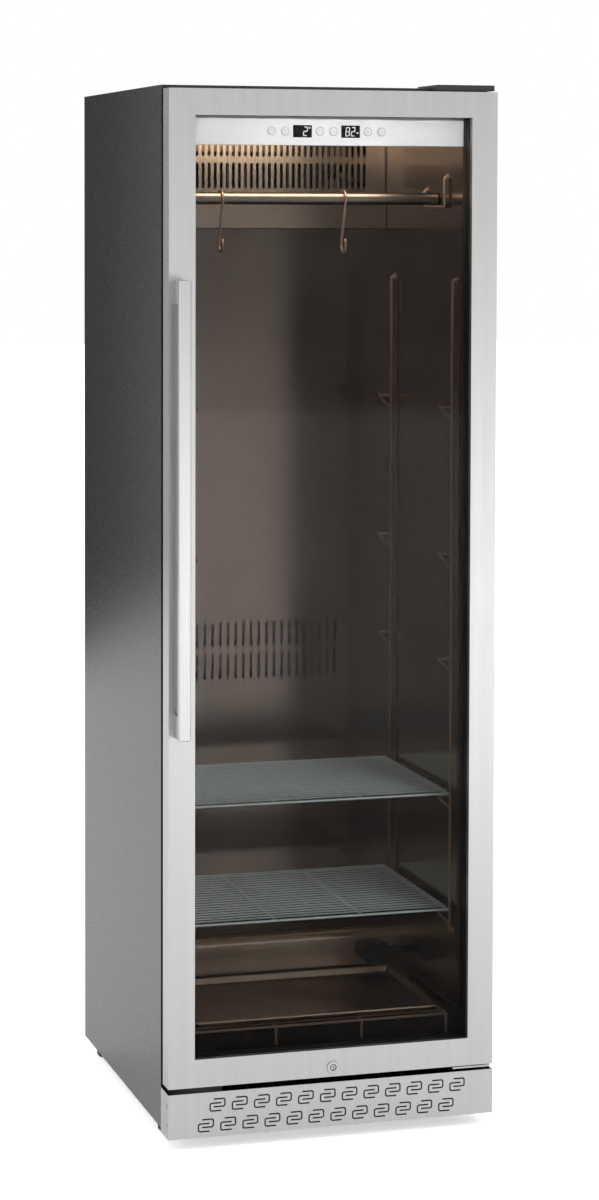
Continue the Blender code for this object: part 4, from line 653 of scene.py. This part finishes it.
class CABINET_OT_shelves(bpy.types.Operator):
    """Two wire shelves and the low rack under the tray, of round wires welded across each other."""

    bl_idname = "cabinet.shelves"
    bl_label = "Wire shelves"

    def execute(self, context):
        sizes, colours = settings(context)
        wire = drawn_wire("electropolished_shelf_wire", colours.wire, 0.8)
        for name, height in SHELF_HEIGHTS.items():
            surfaces = thin_wires(SHELF_REAR, height, SHELF_WIRES, sizes)
            low = height - CROSS_DROP
            for x in CROSS_PLACES:
                surfaces.append(frame_wire([(x, SHELF_FRONT, low), (x, SHELF_REAR, low)], X_AXIS, sizes))
            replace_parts(new_piece(f"{name}_wires", name, "polished_steel", wire, *surfaces), name)
        wire = drawn_wire("electropolished_rack_wire", colours.shaded_warm_wire, 0.6)
        surfaces = thin_wires(RACK_REAR, RACK_TOP, RACK_WIRES, sizes)
        low = RACK_TOP - CROSS_DROP
        foot = CAVITY_FLOOR + WALL_GAP
        ends = (SHELF_FRONT, SHELF_FRONT, RACK_REAR, RACK_REAR)
        for x in CROSS_PLACES:
            legs = [(x, y, z) for y, z in zip(ends, (foot, low, low, foot))]
            surfaces.append(frame_wire(bent(legs, sizes.wire_bend), X_AXIS, sizes))
        piece = new_piece("tray_rack_wires", "tray_rack", "polished_steel", wire, *surfaces)
        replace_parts(piece, "tray_rack")
        return {"FINISHED"}


class CABINET_OT_supports(bpy.types.Operator):
    """Upright wires on the side walls with braced arms, and nibs on the arms that are free."""

    bl_idname = "cabinet.supports"
    bl_label = "Shelf supports"

    def execute(self, context):
        sizes, colours = settings(context)
        wire = drawn_wire("electropolished_support_wire", colours.shaded_warm_wire, 0.6)
        for depth in ("front", "rear"):
            for name, side in zip(sides(f"support_{depth}"), (-1, 1)):
                low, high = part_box(name)
                y = (low.y + high.y) / 2
                wall = side * (INNER_HALF - WALL_GAP)
                x = side * (INNER_HALF - SUPPORT_OFF_WALL)
                tip = x - side * (ARM_REACH - sizes.arm_wire)
                top, bottom = SUPPORT_ENDS
                path = [(wall, y, top), (x, y, top), (x, y, bottom), (wall, y, bottom)]
                surfaces = [frame_wire(bent(path, sizes.wire_bend), Y_AXIS, sizes)]
                for z in FREE_ARMS + SHELF_ARMS:
                    arm = bent([(x, y, z), (tip, y, z), (x, y, z - ARM_BRACE)], sizes.arm_wire)
                    surfaces.append(tube(arm, sizes.arm_wire, Y_AXIS, sizes.wire_sides))
                for z in FREE_ARMS:
                    nib = [(tip, y, z), (tip, y, z + sizes.arm_nib)]
                    surfaces.append(tube(nib, sizes.arm_wire, Y_AXIS, sizes.wire_sides))
                surfaces += [eyelet(sizes, wall, y, z, side) for z in SUPPORT_ENDS]
                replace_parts(new_piece(f"{name}_wires", "cabinet", "polished_steel", wire, *surfaces), name)
        return {"FINISHED"}


def eyelet(sizes, wall, y, z, side):
    """Low domed washer against a side wall, where a wire goes in."""
    edge = sizes.eyelet
    profile = [(edge * across, edge * rise) for across, rise in EYELET_SHARES]
    return turned(profile, facing(wall, y, z, "-X" if side > 0 else "X"))


class CABINET_OT_rail(bpy.types.Operator):
    """Hanging rail with domed ends, its two wire brackets, and the S-hooks that ride on it."""

    bl_idname = "cabinet.rail"
    bl_label = "Hanging rail"

    def execute(self, context):
        sizes, colours = settings(context)
        satin = drawn_wire("satin_ground_rail", colours.rail)
        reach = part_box("hanging_rail")[1].x
        ease = RAIL_RADIUS / 8
        arc = np.linspace(0, pi / 2, 5)
        end = [(RAIL_RADIUS - ease + ease * sin(a), reach - ease + ease * cos(a)) for a in arc]
        profile = end + [(radius, -height) for radius, height in end[::-1]]
        rail = turned(profile, facing(0, RAIL_Y, RAIL_Z, "X"), 48)
        piece = new_piece("hanging_rail_tube", "hanging_rail", "polished_steel", satin, rail)
        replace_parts(piece, "hanging_rail")
        tinted = drawn_wire("electropolished_bracket_wire", colours.shaded_warm_wire, 0.6)
        for name, side in zip(sides("rail_bracket"), (-1, 1)):
            wall = side * (INNER_HALF - WALL_GAP)
            x = side * (INNER_HALF - BRACKET_OFF_WALL)
            front, rear = BRACKET_ENDS
            path = [(wall, *front), (x, *front), (x, front[0], BRACKET_BASE)]
            path += [(x, rear[0], BRACKET_BASE), (x, *rear), (wall, *rear)]
            surfaces = [spatial_tube(bent(path, sizes.wire_bend), sizes.frame_wire, sizes.wire_sides)]
            surfaces += [eyelet(sizes, wall, *end, side) for end in BRACKET_ENDS]
            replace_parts(new_piece(f"{name}_wires", "cabinet", "polished_steel", tinted, *surfaces), name)
        for name in sides("hook"):
            low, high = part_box(name)
            x = (low.x + high.x) / 2
            surface = tube(hook_path(x, sizes), sizes.frame_wire, X_AXIS, 12)
            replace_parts(new_piece(f"{name}_wire", name, "polished_steel", tinted, surface), name)
        return {"FINISHED"}


def hook_path(x, sizes):
    """S line: an arc over the rail, a straight shank to the other side, and an arc below."""
    bowl = RAIL_RADIUS + WALL_GAP + sizes.frame_wire
    lean = np.arcsin(2 * bowl / HOOK_DROP)
    turn = (pi + lean + HOOK_TIP) * np.linspace(0, 1, HOOK_STEPS)
    angle = np.concatenate([turn - HOOK_TIP, lean - turn])
    height = np.repeat([RAIL_Z, RAIL_Z - HOOK_DROP], HOOK_STEPS) + bowl * np.sin(angle)
    return np.stack([np.full_like(angle, x), RAIL_Y + bowl * np.cos(angle), height], -1)


# Cavity

class CABINET_OT_cavity(bpy.types.Operator):
    """Sheet steel of the cavity, the bend of the step over the machine space, and black strips of painted
    shadow under and beside the evaporator cover.
    """

    bl_idname = "cabinet.cavity"
    bl_label = "Cavity"

    def execute(self, context):
        colours = context.scene.cabinet_colours
        liner = bright_sheet("bright_rolled_liner", colours.liner, 0.17)
        dress(liner, "inner_liner", "rear_duct_panel")
        dress(bright_sheet("bright_annealed_cover", colours.cover, 0.22), "evaporator_cover")
        dress(moulded_plastic("moulded_abs_inside", colours.plastic), "front_frame", "drain_outlet")
        dress(opal_cover("opal_acrylic_light", colours.lamp), "light_bar")
        step = bright_sheet("bright_rolled_step", colours.tray, 0.20)
        new_piece("step_cover", "cabinet", "liner_steel", step, step_surface())
        # Painted shadow: black strips under the evaporator cover and up its ends
        seal = soft_rubber("black_cover_shadow_strips", colours.rubber)
        new_piece("cover_shadow_strips", "cabinet", "rubber", seal, *cover_shadow_surfaces())
        return {"FINISHED"}


def cover_shadow_surfaces():
    """Black strip of painted shadow under the evaporator cover, and a thin black line of painted shade up
    each end of its face.
    """
    low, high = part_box("evaporator_cover")
    strip = rectangle(low.x, high.x, low.z - SHADOW_STRIP_FOOT, low.z - SHADOW_STRIP_GAP)
    surfaces = [extruded(strip, 1, low.y + 2 * SHADE_LINE_RISE, low.y + SHADOW_STRIP_REACH)]
    for start, end in ((low.x, low.x + SHADE_LINE_WIDTH), (high.x - SHADE_LINE_WIDTH, high.x)):
        shade_line = rectangle(start, end, low.z, high.z)
        surfaces.append(extruded(shade_line, 1, low.y - SHADE_LINE_RISE, low.y - SHADE_LINE_RISE / 10))
    return surfaces


def step_surface():
    """Sheet over the step: upright, then a quarter of an ellipse, then level, as wide as the cavity."""
    half = INNER_HALF - 2 * WALL_GAP
    share = np.linspace(0, pi / 2, 13)
    top = STEP_TOP + WALL_GAP
    rise = STEP_TOP - STEP_DROP
    bend = STEP_FRONT + STEP_RUN - (STEP_RUN + WALL_GAP) * np.cos(share)
    y = np.concatenate([[STEP_FRONT - WALL_GAP], bend, [STEP_REAR]])
    z = np.concatenate([[CAVITY_FLOOR + WALL_GAP], rise + (top - rise) * np.sin(share), [top]])
    line = np.stack([y, z], -1)
    normal = unit(np.stack([-np.gradient(z), np.gradient(y)], -1))
    outline = np.vstack([line, (line + STEP_SHEET * normal)[::-1]])
    return extruded(outline, 0, -half, half)


class CABINET_OT_tray(bpy.types.Operator):
    """Pressed drip tray: rounded rectangles set in and lowered along a profile of floor, wall and rim."""

    bl_idname = "cabinet.tray"
    bl_label = "Drip tray"

    def execute(self, context):
        sizes, colours = settings(context)
        low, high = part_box("tray")
        upper = [(inset, high.z - down) for inset, down in TRAY_ROLL]
        upper += [(inset, low.z + TRAY_SHEET + up) for inset, up in TRAY_FOOT]
        lower = [(inset + TRAY_SHEET / 2, height - TRAY_SHEET) for inset, height in upper[:2:-1]]
        lower += [(TRAY_SHEET, high.z - down) for down in (TRAY_SHEET, TRAY_ROLL[0][1])]
        rings = [rounded_ring(low, high, *point, sizes.tray_corner) for point in lower + upper]
        steel = bright_sheet("pressed_tray_steel", colours.tray, 0.24)
        piece = new_piece("tray_pressing", "tray", "polished_steel", steel, capped(np.stack(rings)))
        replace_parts(piece, "tray")
        return {"FINISHED"}


def rounded_ring(low, high, inset, height, corner):
    """Rectangle with rounded corners in from a box by an inset, as one ring of points at a height."""
    radius = max(corner - inset / 2, corner / 2)
    ring = []
    for quarter, (sx, sy) in enumerate(((1, 1), (-1, 1), (-1, -1), (1, -1))):
        x = (high.x if sx > 0 else low.x) - sx * (inset + radius)
        y = (high.y if sy > 0 else low.y) - sy * (inset + radius)
        turn = np.linspace(0, pi / 2, 7) + quarter * pi / 2
        ring.append(np.stack([x + radius * np.cos(turn), y + radius * np.sin(turn)], -1))
    return np.insert(np.vstack(ring), 2, height, axis=1)


# Door

class CABINET_OT_door(bpy.types.Operator):
    """Brushed door skin, handle, lock and the sealed glass unit."""

    bl_idname = "cabinet.door"
    bl_label = "Door"

    def execute(self, context):
        sizes, colours = settings(context)
        dress(brushed_stainless("brushed_stainless_door", colours.door_steel, DOOR_GRAIN), "door_frame")
        handle = brushed_stainless("brushed_stainless_handle", colours.door_steel, HANDLE_GRAIN, 0.28)
        dress(handle, "handle_bar")
        posts = satin_aluminium("satin_anodised_posts", colours.aluminium)
        dress(posts, "handle_post_top", "handle_post_bottom")
        dress(moulded_plastic("moulded_abs_door", colours.plastic), "door_inner_frame", "glass_spacer")
        dress(satin_aluminium("nickel_plated_lock", colours.aluminium), "lock_barrel", "lock_core")
        self.mark_lock(drawn_wire("painted_shade_lock_recess", colours.shade_dark_steel), sizes)
        dress(pane_glass("coated_float_glass", colours.glass), "outer_glass", "inner_glass")
        return {"FINISHED"}

    def mark_lock(self, dark, sizes):
        """Painted shade at the lock: a dark ring in the recess round its core, a dark ring of painted shadow
        round its flange, and a dark bar in the key slot.
        """
        low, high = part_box("lock_barrel")
        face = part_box("lock_core")[0]
        core = -face.x
        recess = facing(0, low.y, LOCK_Z)
        groove = flat_ring(sizes.lock_shade_ring, core + WALL_GAP, sizes.print_height, recess)
        skin = facing(0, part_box("door_frame")[0].y, LOCK_Z)
        flange_shadow = flat_ring(high.x + FLANGE_SHADOW_WIDTH, high.x, sizes.print_height, skin)
        new_piece("lock_shade_ring", "door", "zinc_steel", dark, groove, flange_shadow)
        half, width = (core * share for share in KEY_SLOT_SHARES)
        slot = bar((0, LOCK_Z - half), (0, LOCK_Z + half), width, 0)
        new_piece("lock_slot_shade", "lock_core", "zinc_steel", dark, printed(slot, face.y, sizes))


class CABINET_OT_gasket(bpy.types.Operator):
    """Magnetic seal: a profile drawn in at a fold and a neck, carried round the door opening."""

    bl_idname = "cabinet.gasket"
    bl_label = "Door gasket"

    def execute(self, context):
        colours = context.scene.cabinet_colours
        low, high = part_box("door_gasket")
        width, depth = GASKET_WIDTH, high.y - low.y
        outer = [(width * (1 - share), low.y + depth * down) for share, down in SEAL_FOLDS]
        inner = [(width * share, low.y + depth * down) for share, down in SEAL_FOLDS[::-1]]
        corners = (low.x + width, high.x - width, low.z + width, high.z - width)
        surface = looped(corners, outer + inner)
        rubber = soft_rubber("extruded_door_seal", colours.rubber)
        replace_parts(new_piece("door_gasket_profile", "door", "rubber", rubber, surface), "door_gasket")
        return {"FINISHED"}


# Controls

SEGMENTS = {"2": "abged", "8": "abcdefg"}
# Ends of each segment, as shares of a digit's width and height
SEGMENT_ENDS_SHARE = {
    "a": ((0, 1), (1, 1)), "b": ((1, 1), (1, 0.5)), "c": ((1, 0.5), (1, 0)), "d": ((0, 0), (1, 0)),
    "e": ((0, 0.5), (0, 0)), "f": ((0, 1), (0, 0.5)), "g": ((0, 0.5), (1, 0.5)),
}
SLANT = 0.09
BUTTON_TONE = 0.97
# Width of a digit as a share of its height, and places across a display as shares of its width
DIGIT_WIDTH_SHARE = 0.42
TEMPERATURE_SHARE = 0.66
HUMIDITY_SHARES = (0.34, 0.63)
DEGREE_SHARE = 0.88
DASH_SHARE = 0.87
DEGREE_RADIUS = 0.0012
DEGREE_STROKE = 0.0007
DASH_HALF = 0.0020
DASH_DROP = 0.0022
DASH_STROKES = 1.4


def printed(outline, face, sizes):
    """An outline laid on a face as print or as a lit shape."""
    return extruded(outline, 1, face - sizes.print_height, face)


def bar(start, end, width, gap):
    """Outline of a segment with pointed ends."""
    start, end = np.array(start, float), np.array(end, float)
    along = unit(end - start)
    aside = np.array((-along[1], along[0])) * width / 2
    near, far = start + along * gap, end - along * gap
    nib = along * width / 2
    near_nib, far_nib = near + nib, far - nib
    return np.array([near, near_nib + aside, far_nib + aside, far, far_nib - aside, near_nib - aside])


def digit_surfaces(text, x, z, face, sizes):
    """The lit segments of one digit, leaning a little, in front of a display's face."""
    height = sizes.digit
    width = height * DIGIT_WIDTH_SHARE
    x -= (width + SLANT * height) / 2
    surfaces = []
    for segment in SEGMENTS[text]:
        start, end = (np.array(share) * (width, height) for share in SEGMENT_ENDS_SHARE[segment])
        outline = bar(start, end, sizes.digit_stroke, sizes.digit_stroke / 6)
        outline[:, 0] += SLANT * outline[:, 1]
        surfaces.append(printed(outline + (x, z - height / 2), face, sizes))
    return surfaces


def stroked(path, width):
    """Outline of a line of some width along a flat path."""
    path = np.asarray(path, float)
    along = directions(path)
    aside = np.stack([-along[:, 1], along[:, 0]], -1) * width / 2
    return np.vstack([path + aside, (path - aside)[::-1]])


def arc_share(start, end, radius, count=14):
    """Points of an arc about the middle of a symbol, in shares of its radius."""
    angle = np.linspace(radians(start), radians(end), count)
    return radius * np.stack([np.cos(angle), np.sin(angle)], -1)


# Lines of the symbol on each button, as shares of the symbol's radius
SYMBOL_SHARES = (
    (arc_share(120, 420, 0.9), ((0, 0.35), (0, 1.1))),
    (arc_share(-60, 240, 0.55), ((-0.3, -0.9), (0.3, -0.9)), ((0, 0.8), (0, 1.15))),
    (((-0.8, -0.35), (0, 0.45), (0.8, -0.35)),),
    (((-0.8, 0.35), (0, -0.45), (0.8, 0.35)),),
    (((0, -0.9), (0, 0.9)), ((-0.8, -0.45), (0.8, 0.45)), ((-0.8, 0.45), (0.8, -0.45))),
    (arc_share(70, 290, 0.8), ((0.1, 0.8), (0.8, 0.0), (0.1, -0.8))),
)


class CABINET_OT_controls(bpy.types.Operator):
    """Control panel: lacquered face, push buttons with a symbol each, and two lit displays."""

    bl_idname = "cabinet.controls"
    bl_label = "Controls"

    def execute(self, context):
        sizes, colours = settings(context)
        dress(lacquered_panel("silver_lacquered_panel", colours.panel), "control_panel")
        tone = [channel * BUTTON_TONE for channel in colours.panel]
        keys = lacquered_panel("silver_lacquered_button", tone)
        ink = moulded_plastic("grey_button_print", colours.ink, 0.5)
        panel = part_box("control_panel")[0]
        rings = []
        for number, lines in enumerate(SYMBOL_SHARES, 1):
            name = f"button_{number}"
            dress(keys, name)
            low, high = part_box(name)
            middle = np.array(((low.x + high.x) / 2, (low.z + high.z) / 2))
            surfaces = []
            for line in lines:
                outline = stroked(np.multiply(line, sizes.symbol), sizes.symbol_stroke) + middle
                surfaces.append(printed(outline, low.y, sizes))
            new_piece(f"{name}_symbol", name, "panel_plastic", ink, *surfaces)
            inner = high.x - middle[0] + RING_GAP
            place = facing(middle[0], panel.y, middle[1])
            rings.append(flat_ring(sizes.button_ring, inner, sizes.print_height, place))
        new_piece("button_rings", "cabinet", "panel_plastic", ink, *rings)
        window = gloss_acrylic("black_acrylic_display", colours.display)
        dress(window, "display_temperature", "display_humidity")
        self.light_digits(lit_segment("white_segment_light", colours.glow), sizes)
        return {"FINISHED"}

    def light_digits(self, glow, sizes):
        """The numbers on both displays, a degree ring after the first and a dash after the second."""
        low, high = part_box("display_temperature")
        z = (low.z + high.z) / 2
        width = high.x - low.x
        ring = stroked(arc_share(0, 360, DEGREE_RADIUS, 17), DEGREE_STROKE)
        spot = (low.x + DEGREE_SHARE * width, z + sizes.digit / 2 - DEGREE_RADIUS)
        surfaces = digit_surfaces("2", low.x + TEMPERATURE_SHARE * width, z, low.y, sizes)
        surfaces.append(printed(ring + spot, low.y, sizes))
        new_piece("temperature_digits", "cabinet", "display", glow, *surfaces)
        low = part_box("display_humidity")[0]
        surfaces = []
        for digit, share in zip("82", HUMIDITY_SHARES):
            surfaces += digit_surfaces(digit, low.x + share * width, z, low.y, sizes)
        mark = low.x + DASH_SHARE * width
        ends = [(mark + end, z - DASH_DROP) for end in (-DASH_HALF, DASH_HALF)]
        surfaces.append(printed(bar(*ends, sizes.digit_stroke * DASH_STROKES, 0), low.y, sizes))
        new_piece("humidity_digits", "cabinet", "display", glow, *surfaces)


# Case and machine space

def plinth_sheet():
    """Sheet folded back at both ends: its outline in the XY plane, carried up."""
    low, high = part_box("kick_plate")
    left, right, front = low.x + PLINTH_STEEL, high.x - PLINTH_STEEL, low.y + PLINTH_STEEL
    outline = [(high.x, high.y), (high.x, low.y), (low.x, low.y), (low.x, high.y)]
    outline += [(left, high.y), (left, front), (right, front), (right, high.y)]
    return extruded(outline, 2, low.z, high.z)


def plinth_slots(width):
    """Two rows of meanders, each of two hooked lines that lie in each other."""
    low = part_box("kick_plate")[0]
    reach, rise, chamfer = MEANDER_LINE
    half = [(0, rise), (reach - chamfer, rise), (reach, rise - chamfer)]
    hook = np.array(half + [(x, -z) for x, z in half[::-1]]) + MEANDER_SHIFT
    near, far = low.y - PLINTH_STEEL, low.y + 2 * PLINTH_STEEL
    surfaces = []
    for first, height in MEANDER_ROWS:
        for step in range(MEANDERS):
            middle = (first + step * MEANDER_PITCH, low.z + height)
            surfaces += [extruded(stroked(way * hook, width) + middle, 1, near, far) for way in (1, -1)]
    return surfaces


class CABINET_OT_case(bpy.types.Operator):
    """Powder-coated case, galvanised rear and base, kick plate, feet and hinge fittings."""

    bl_idname = "cabinet.case"
    bl_label = "Case"

    def execute(self, context):
        sizes, colours = settings(context)
        dress(powder_coat("satin_powder_coat", colours.paint), "outer_casing")
        dress(galvanised_sheet("galvanised_sheet", colours.zinc), "back_panel", "base_plate", "lock_keeper")
        plinth = brushed_stainless("brushed_stainless_plinth", colours.door_steel, DOOR_GRAIN)
        plate = cut_mesh(closed_mesh("plinth_sheet", [plinth_sheet()]), plinth_slots(sizes.plinth_slot))
        piece = new_piece("kick_plate_sheet", "cabinet", "brushed_steel", plinth, mesh=plate)
        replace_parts(piece, "kick_plate")
        black = moulded_plastic("moulded_abs_outside", colours.plastic, 0.42)
        dress(black, "cord_gland", "top_hinge_bracket", *sides("foot_front", "foot_rear"))
        dress(satin_aluminium("zinc_plated_hinge", colours.aluminium), "bottom_hinge_bracket")
        dress(drawn_wire("ground_hinge_pin", colours.wire), "top_hinge_pin")
        return {"FINISHED"}


class CABINET_OT_machine(bpy.types.Operator):
    """Refrigeration parts behind the kick plate, the cover and the walls, and the dust filter, a black mat
    of painted shade behind the kick plate's slots.
    """

    bl_idname = "cabinet.machine"
    bl_label = "Machine parts"

    def execute(self, context):
        colours = context.scene.cabinet_colours
        dress(stove_enamel("black_stove_enamel", colours.enamel), "compressor")
        # Black coat of the coils, partly painted shade behind the slots in front of them
        dress(stove_enamel("coat_and_shade_black_fins", colours.fins), "condenser", "evaporator_coil")
        motor = galvanised_sheet("galvanised_motor", colours.zinc)
        dress(motor, "condenser_fan_motor", "evaporator_fan_motor")
        dress(moulded_plastic("moulded_fan_nylon", colours.plastic), "condenser_fan", "evaporator_fan")
        dress(rigid_foam("poured_pu_foam", colours.foam), "insulation_foam")
        low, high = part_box("kick_plate")
        across, up = FILTER_INSET
        front = low.y + FILTER_BEHIND
        outline = rectangle(low.x + across, high.x - across, low.z + up, high.z - up)
        mat = open_cell_mat("black_shade_filter_mat", colours.filter)
        surface = extruded(outline, 1, front, front + FILTER_DEPTH)
        new_piece("dust_filter_shade_mat", "cabinet", "rubber", mat, surface)
        return {"FINISHED"}


def pan_head(sizes, x, y, z):
    """Screw head on the rear: a quarter of an ellipse over a short upright edge, turned."""
    radius, rise = sizes.screw, sizes.screw_rise
    arc = np.linspace(0, pi / 2, 6)[:-1]
    profile = [(radius, 0)] + [(radius * cos(a), rise / 3 + rise * 2 / 3 * sin(a)) for a in arc]
    return turned(profile, facing(x, y, z, "Y"), 16)


class CABINET_OT_screws(bpy.types.Operator):
    """Flush screws in the kick plate's returns, dark all over as painted shade of their rims and recesses,
    and pan-head screws round the back panel.
    """

    bl_idname = "cabinet.screws"
    bl_label = "Screws"

    def execute(self, context):
        sizes, colours = settings(context)
        low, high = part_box("kick_plate")
        surfaces = []
        for share in RETURN_SCREWS:
            for x, inward in ((low.x, 1), (high.x, -1)):
                z = low.z + share * (high.z - low.z)
                surfaces.append(side_screw(sizes, x, low.y + SCREW_INSET, z, inward))
        # Dark as painted shade of the heads' rims and recesses
        dark = drawn_wire("painted_shade_side_screws", colours.shade_dark_steel)
        new_piece("kick_plate_screws", "cabinet", "zinc_steel", dark, *surfaces)
        low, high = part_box("back_panel")
        surfaces = []
        for z in np.linspace(low.z + BACK_SCREW_END, high.z - BACK_SCREW_END, BACK_SCREWS):
            surfaces += [pan_head(sizes, x, high.y, z) for x in (low.x + SCREW_INSET, high.x - SCREW_INSET)]
        steel = drawn_wire("zinc_plated_screws", colours.zinc)
        new_piece("back_panel_screws", "cabinet", "zinc_steel", steel, *surfaces)
        return {"FINISHED"}


def side_screw(sizes, x, y, z, inward):
    """Flush screw in the side return of the kick plate, its head's rim just proud of the sheet."""
    radius = sizes.side_screw
    profile = [(radius * share, height) for share, height in SIDE_SCREW_TURNED]
    return turned(profile, facing(x + inward * SIDE_SCREW_SUNK, y, z, "-X" if inward > 0 else "X"), 16)


# Stage

# Name, place, target, size and power of each lamp
LAMPS = (
    ("front_softbox", (1.5, -4.2, 0.40), (0.2, -0.3, 0.85), (2.0, 1.2), 16),
    ("top_softbox", (-0.6, -1.8, 3.6), (0.0, 0.0, 1.0), (2.4, 2.0), 18),
    ("left_softbox", (-3.2, -1.2, 1.2), (-0.3, 0.0, 0.8), (1.6, 1.6), 8),
)
PANEL_SNOOT = ("panel_snoot", (-0.3, -2.6, 1.95), (0.0, -0.256, 1.771), (0.5, 0.05), 2.1)
SNOOT_SPREAD = radians(20)
CAVITY_STRIP = ("cavity_strip", (0, -0.170, 1.786), (0, -0.02, 0.9), (0.40, 0.10), 2.0)
FLOOR = [(-30, -30, 0), (30, -30, 0), (30, 30, 0), (-30, 30, 0)]
# Behind the cabinet on its left, where only mirror images show it; its foot slants
BLACK_CARD = [(-0.9, 1.54, 0.80), (-0.34, 1.5, 0.48), (-0.34, 1.5, 4.0), (-0.9, 1.54, 4.0)]
# Each first as the light that falls on the object, then as what is seen
WORLD_STRENGTHS = (0.85, 1.0)
FLOOR_TONES = (0.8, 1.4)
FLOOR_GLOWS = (0.0, 0.5)
CAMERA_PLACE = (-1.5467, -5.2957, 1.6332)
CAMERA_HEADING = -0.289
CAMERA_TILT = -0.0476
CAMERA_ROLL = 0.0026


def flat_stage(name, corners, material):
    """One flat face of the stage."""
    mesh = bpy.data.meshes.new(name)
    mesh.from_pydata(corners, [], [tuple(range(len(corners)))])
    mesh.materials.append(material)
    flat = add_object(name, mesh)
    return flat


def add_lamp(name, place, target, size, power, colour=(1, 1, 1)):
    """Rectangular lamp that the camera doesn't see."""
    lamp = bpy.data.lights.new(name, "AREA")
    lamp.shape = "RECTANGLE"
    lamp.size, lamp.size_y = size
    lamp.energy = power
    lamp.color = colour
    obj = add_object(name, lamp)
    obj.location = place
    obj.rotation_euler = (Vector(target) - Vector(place)).to_track_quat("-Z", "Y").to_euler()
    obj.visible_camera = False
    return obj


def seen(tree):
    """1 where the camera, a mirror image or glass shows the surroundings, else 0."""
    path = add_node(tree, "ShaderNodeLightPath").outputs
    sight = path["Is Camera Ray"]
    for kind in ("Is Glossy Ray", "Is Transmission Ray"):
        sight = add_node(tree, "ShaderNodeMath", {0: sight, 1: path[kind]}, operation="MAXIMUM").outputs[0]
    return sight


class CABINET_OT_stage(bpy.types.Operator):
    """Pale floor, white surroundings, soft lamps, a black card and the camera."""

    bl_idname = "cabinet.stage"
    bl_label = "Stage"

    def execute(self, context):
        scene = context.scene
        scene.view_settings.view_transform = "Standard"
        scene.world = bpy.data.worlds.new("white_studio")
        scene.world.use_nodes = True
        tree = scene.world.node_tree
        sky = tree.nodes["Background"]
        sky.inputs["Color"].default_value = (1, 1, 1, 1)
        tree.links.new(spread(tree, seen(tree), *WORLD_STRENGTHS, 0, 1), sky.inputs["Strength"])
        flat_stage("studio_floor", FLOOR, self.white_floor())
        black, _, _ = new_material("black_card", (0.01, 0.01, 0.01), 0.0, 0.9)
        card = flat_stage("black_card", BLACK_CARD, black)
        card.visible_camera = card.visible_diffuse = card.visible_shadow = card.visible_transmission = False
        for lamp in LAMPS:
            add_lamp(*lamp)
        snoot = add_lamp(*PANEL_SNOOT)
        snoot.data.spread = SNOOT_SPREAD
        snoot.visible_glossy = False
        add_lamp(*CAVITY_STRIP, scene.cabinet_colours.lamp)
        self.add_camera(scene)
        return {"FINISHED"}

    def white_floor(self):
        """Matte floor, brighter to the camera and in mirror images, that keeps the shadow."""
        material, tree, shader = new_material("matte_white_floor", (0.8, 0.8, 0.8), 0.0, 0.9)
        shader.inputs["Specular IOR Level"].default_value = 0.0
        shader.inputs["Emission Color"].default_value = (1, 1, 1, 1)
        tree.links.new(spread(tree, seen(tree), *FLOOR_TONES, 0, 1), shader.inputs["Base Color"])
        bare = add_node(tree, "ShaderNodeLightPath").outputs["Is Camera Ray"]
        tree.links.new(spread(tree, bare, *FLOOR_GLOWS, 0, 1), shader.inputs["Emission Strength"])
        return material

    def add_camera(self, scene):
        """Camera of the photograph's view."""
        camera = bpy.data.cameras.new("camera")
        camera.lens = 90.31
        camera.sensor_width = 36
        camera.shift_y = -0.2071
        camera.clip_end = 100
        turn = Matrix.Rotation(CAMERA_HEADING, 4, "Z") @ Matrix.Rotation(pi / 2 + CAMERA_TILT, 4, "X")
        turn = turn @ Matrix.Rotation(CAMERA_ROLL, 4, "Z")
        scene.camera = add_object("camera", camera)
        scene.camera.matrix_world = Matrix.Translation(CAMERA_PLACE) @ turn


class CABINET_PT_panel(bpy.types.Panel):
    """The cabinet's pieces in the sidebar."""

    bl_idname = "CABINET_PT_panel"
    bl_label = "Dry aging cabinet"
    bl_space_type = "VIEW_3D"
    bl_region_type = "UI"
    bl_category = "Cabinet"

    def draw(self, context):
        for operator in OPERATORS:
            self.layout.operator(operator.bl_idname)
        for group in (context.scene.cabinet_sizes, context.scene.cabinet_colours):
            for name in group.bl_rna.properties.keys():
                if name not in ("rna_type", "name"):
                    self.layout.prop(group, name)


OPERATORS = (
    CABINET_OT_stage,
    CABINET_OT_case,
    CABINET_OT_machine,
    CABINET_OT_cavity,
    CABINET_OT_tray,
    CABINET_OT_shelves,
    CABINET_OT_supports,
    CABINET_OT_rail,
    CABINET_OT_door,
    CABINET_OT_gasket,
    CABINET_OT_controls,
    CABINET_OT_screws,
)
CLASSES = (CabinetSizes, CabinetColours, *OPERATORS, CABINET_PT_panel)


def register():
    for cls in CLASSES:
        bpy.utils.register_class(cls)
    bpy.types.Scene.cabinet_sizes = PointerProperty(type=CabinetSizes)
    bpy.types.Scene.cabinet_colours = PointerProperty(type=CabinetColours)


def unregister():
    del bpy.types.Scene.cabinet_colours
    del bpy.types.Scene.cabinet_sizes
    for cls in reversed(CLASSES):
        bpy.utils.unregister_class(cls)


def main():
    register()
    for operator in OPERATORS:
        name = operator.bl_idname.split(".")[1]
        if getattr(bpy.ops.cabinet, name)() != {"FINISHED"}:
            raise RuntimeError(f"{operator.bl_label} wasn't made")


if __name__ == "__main__":
    main()
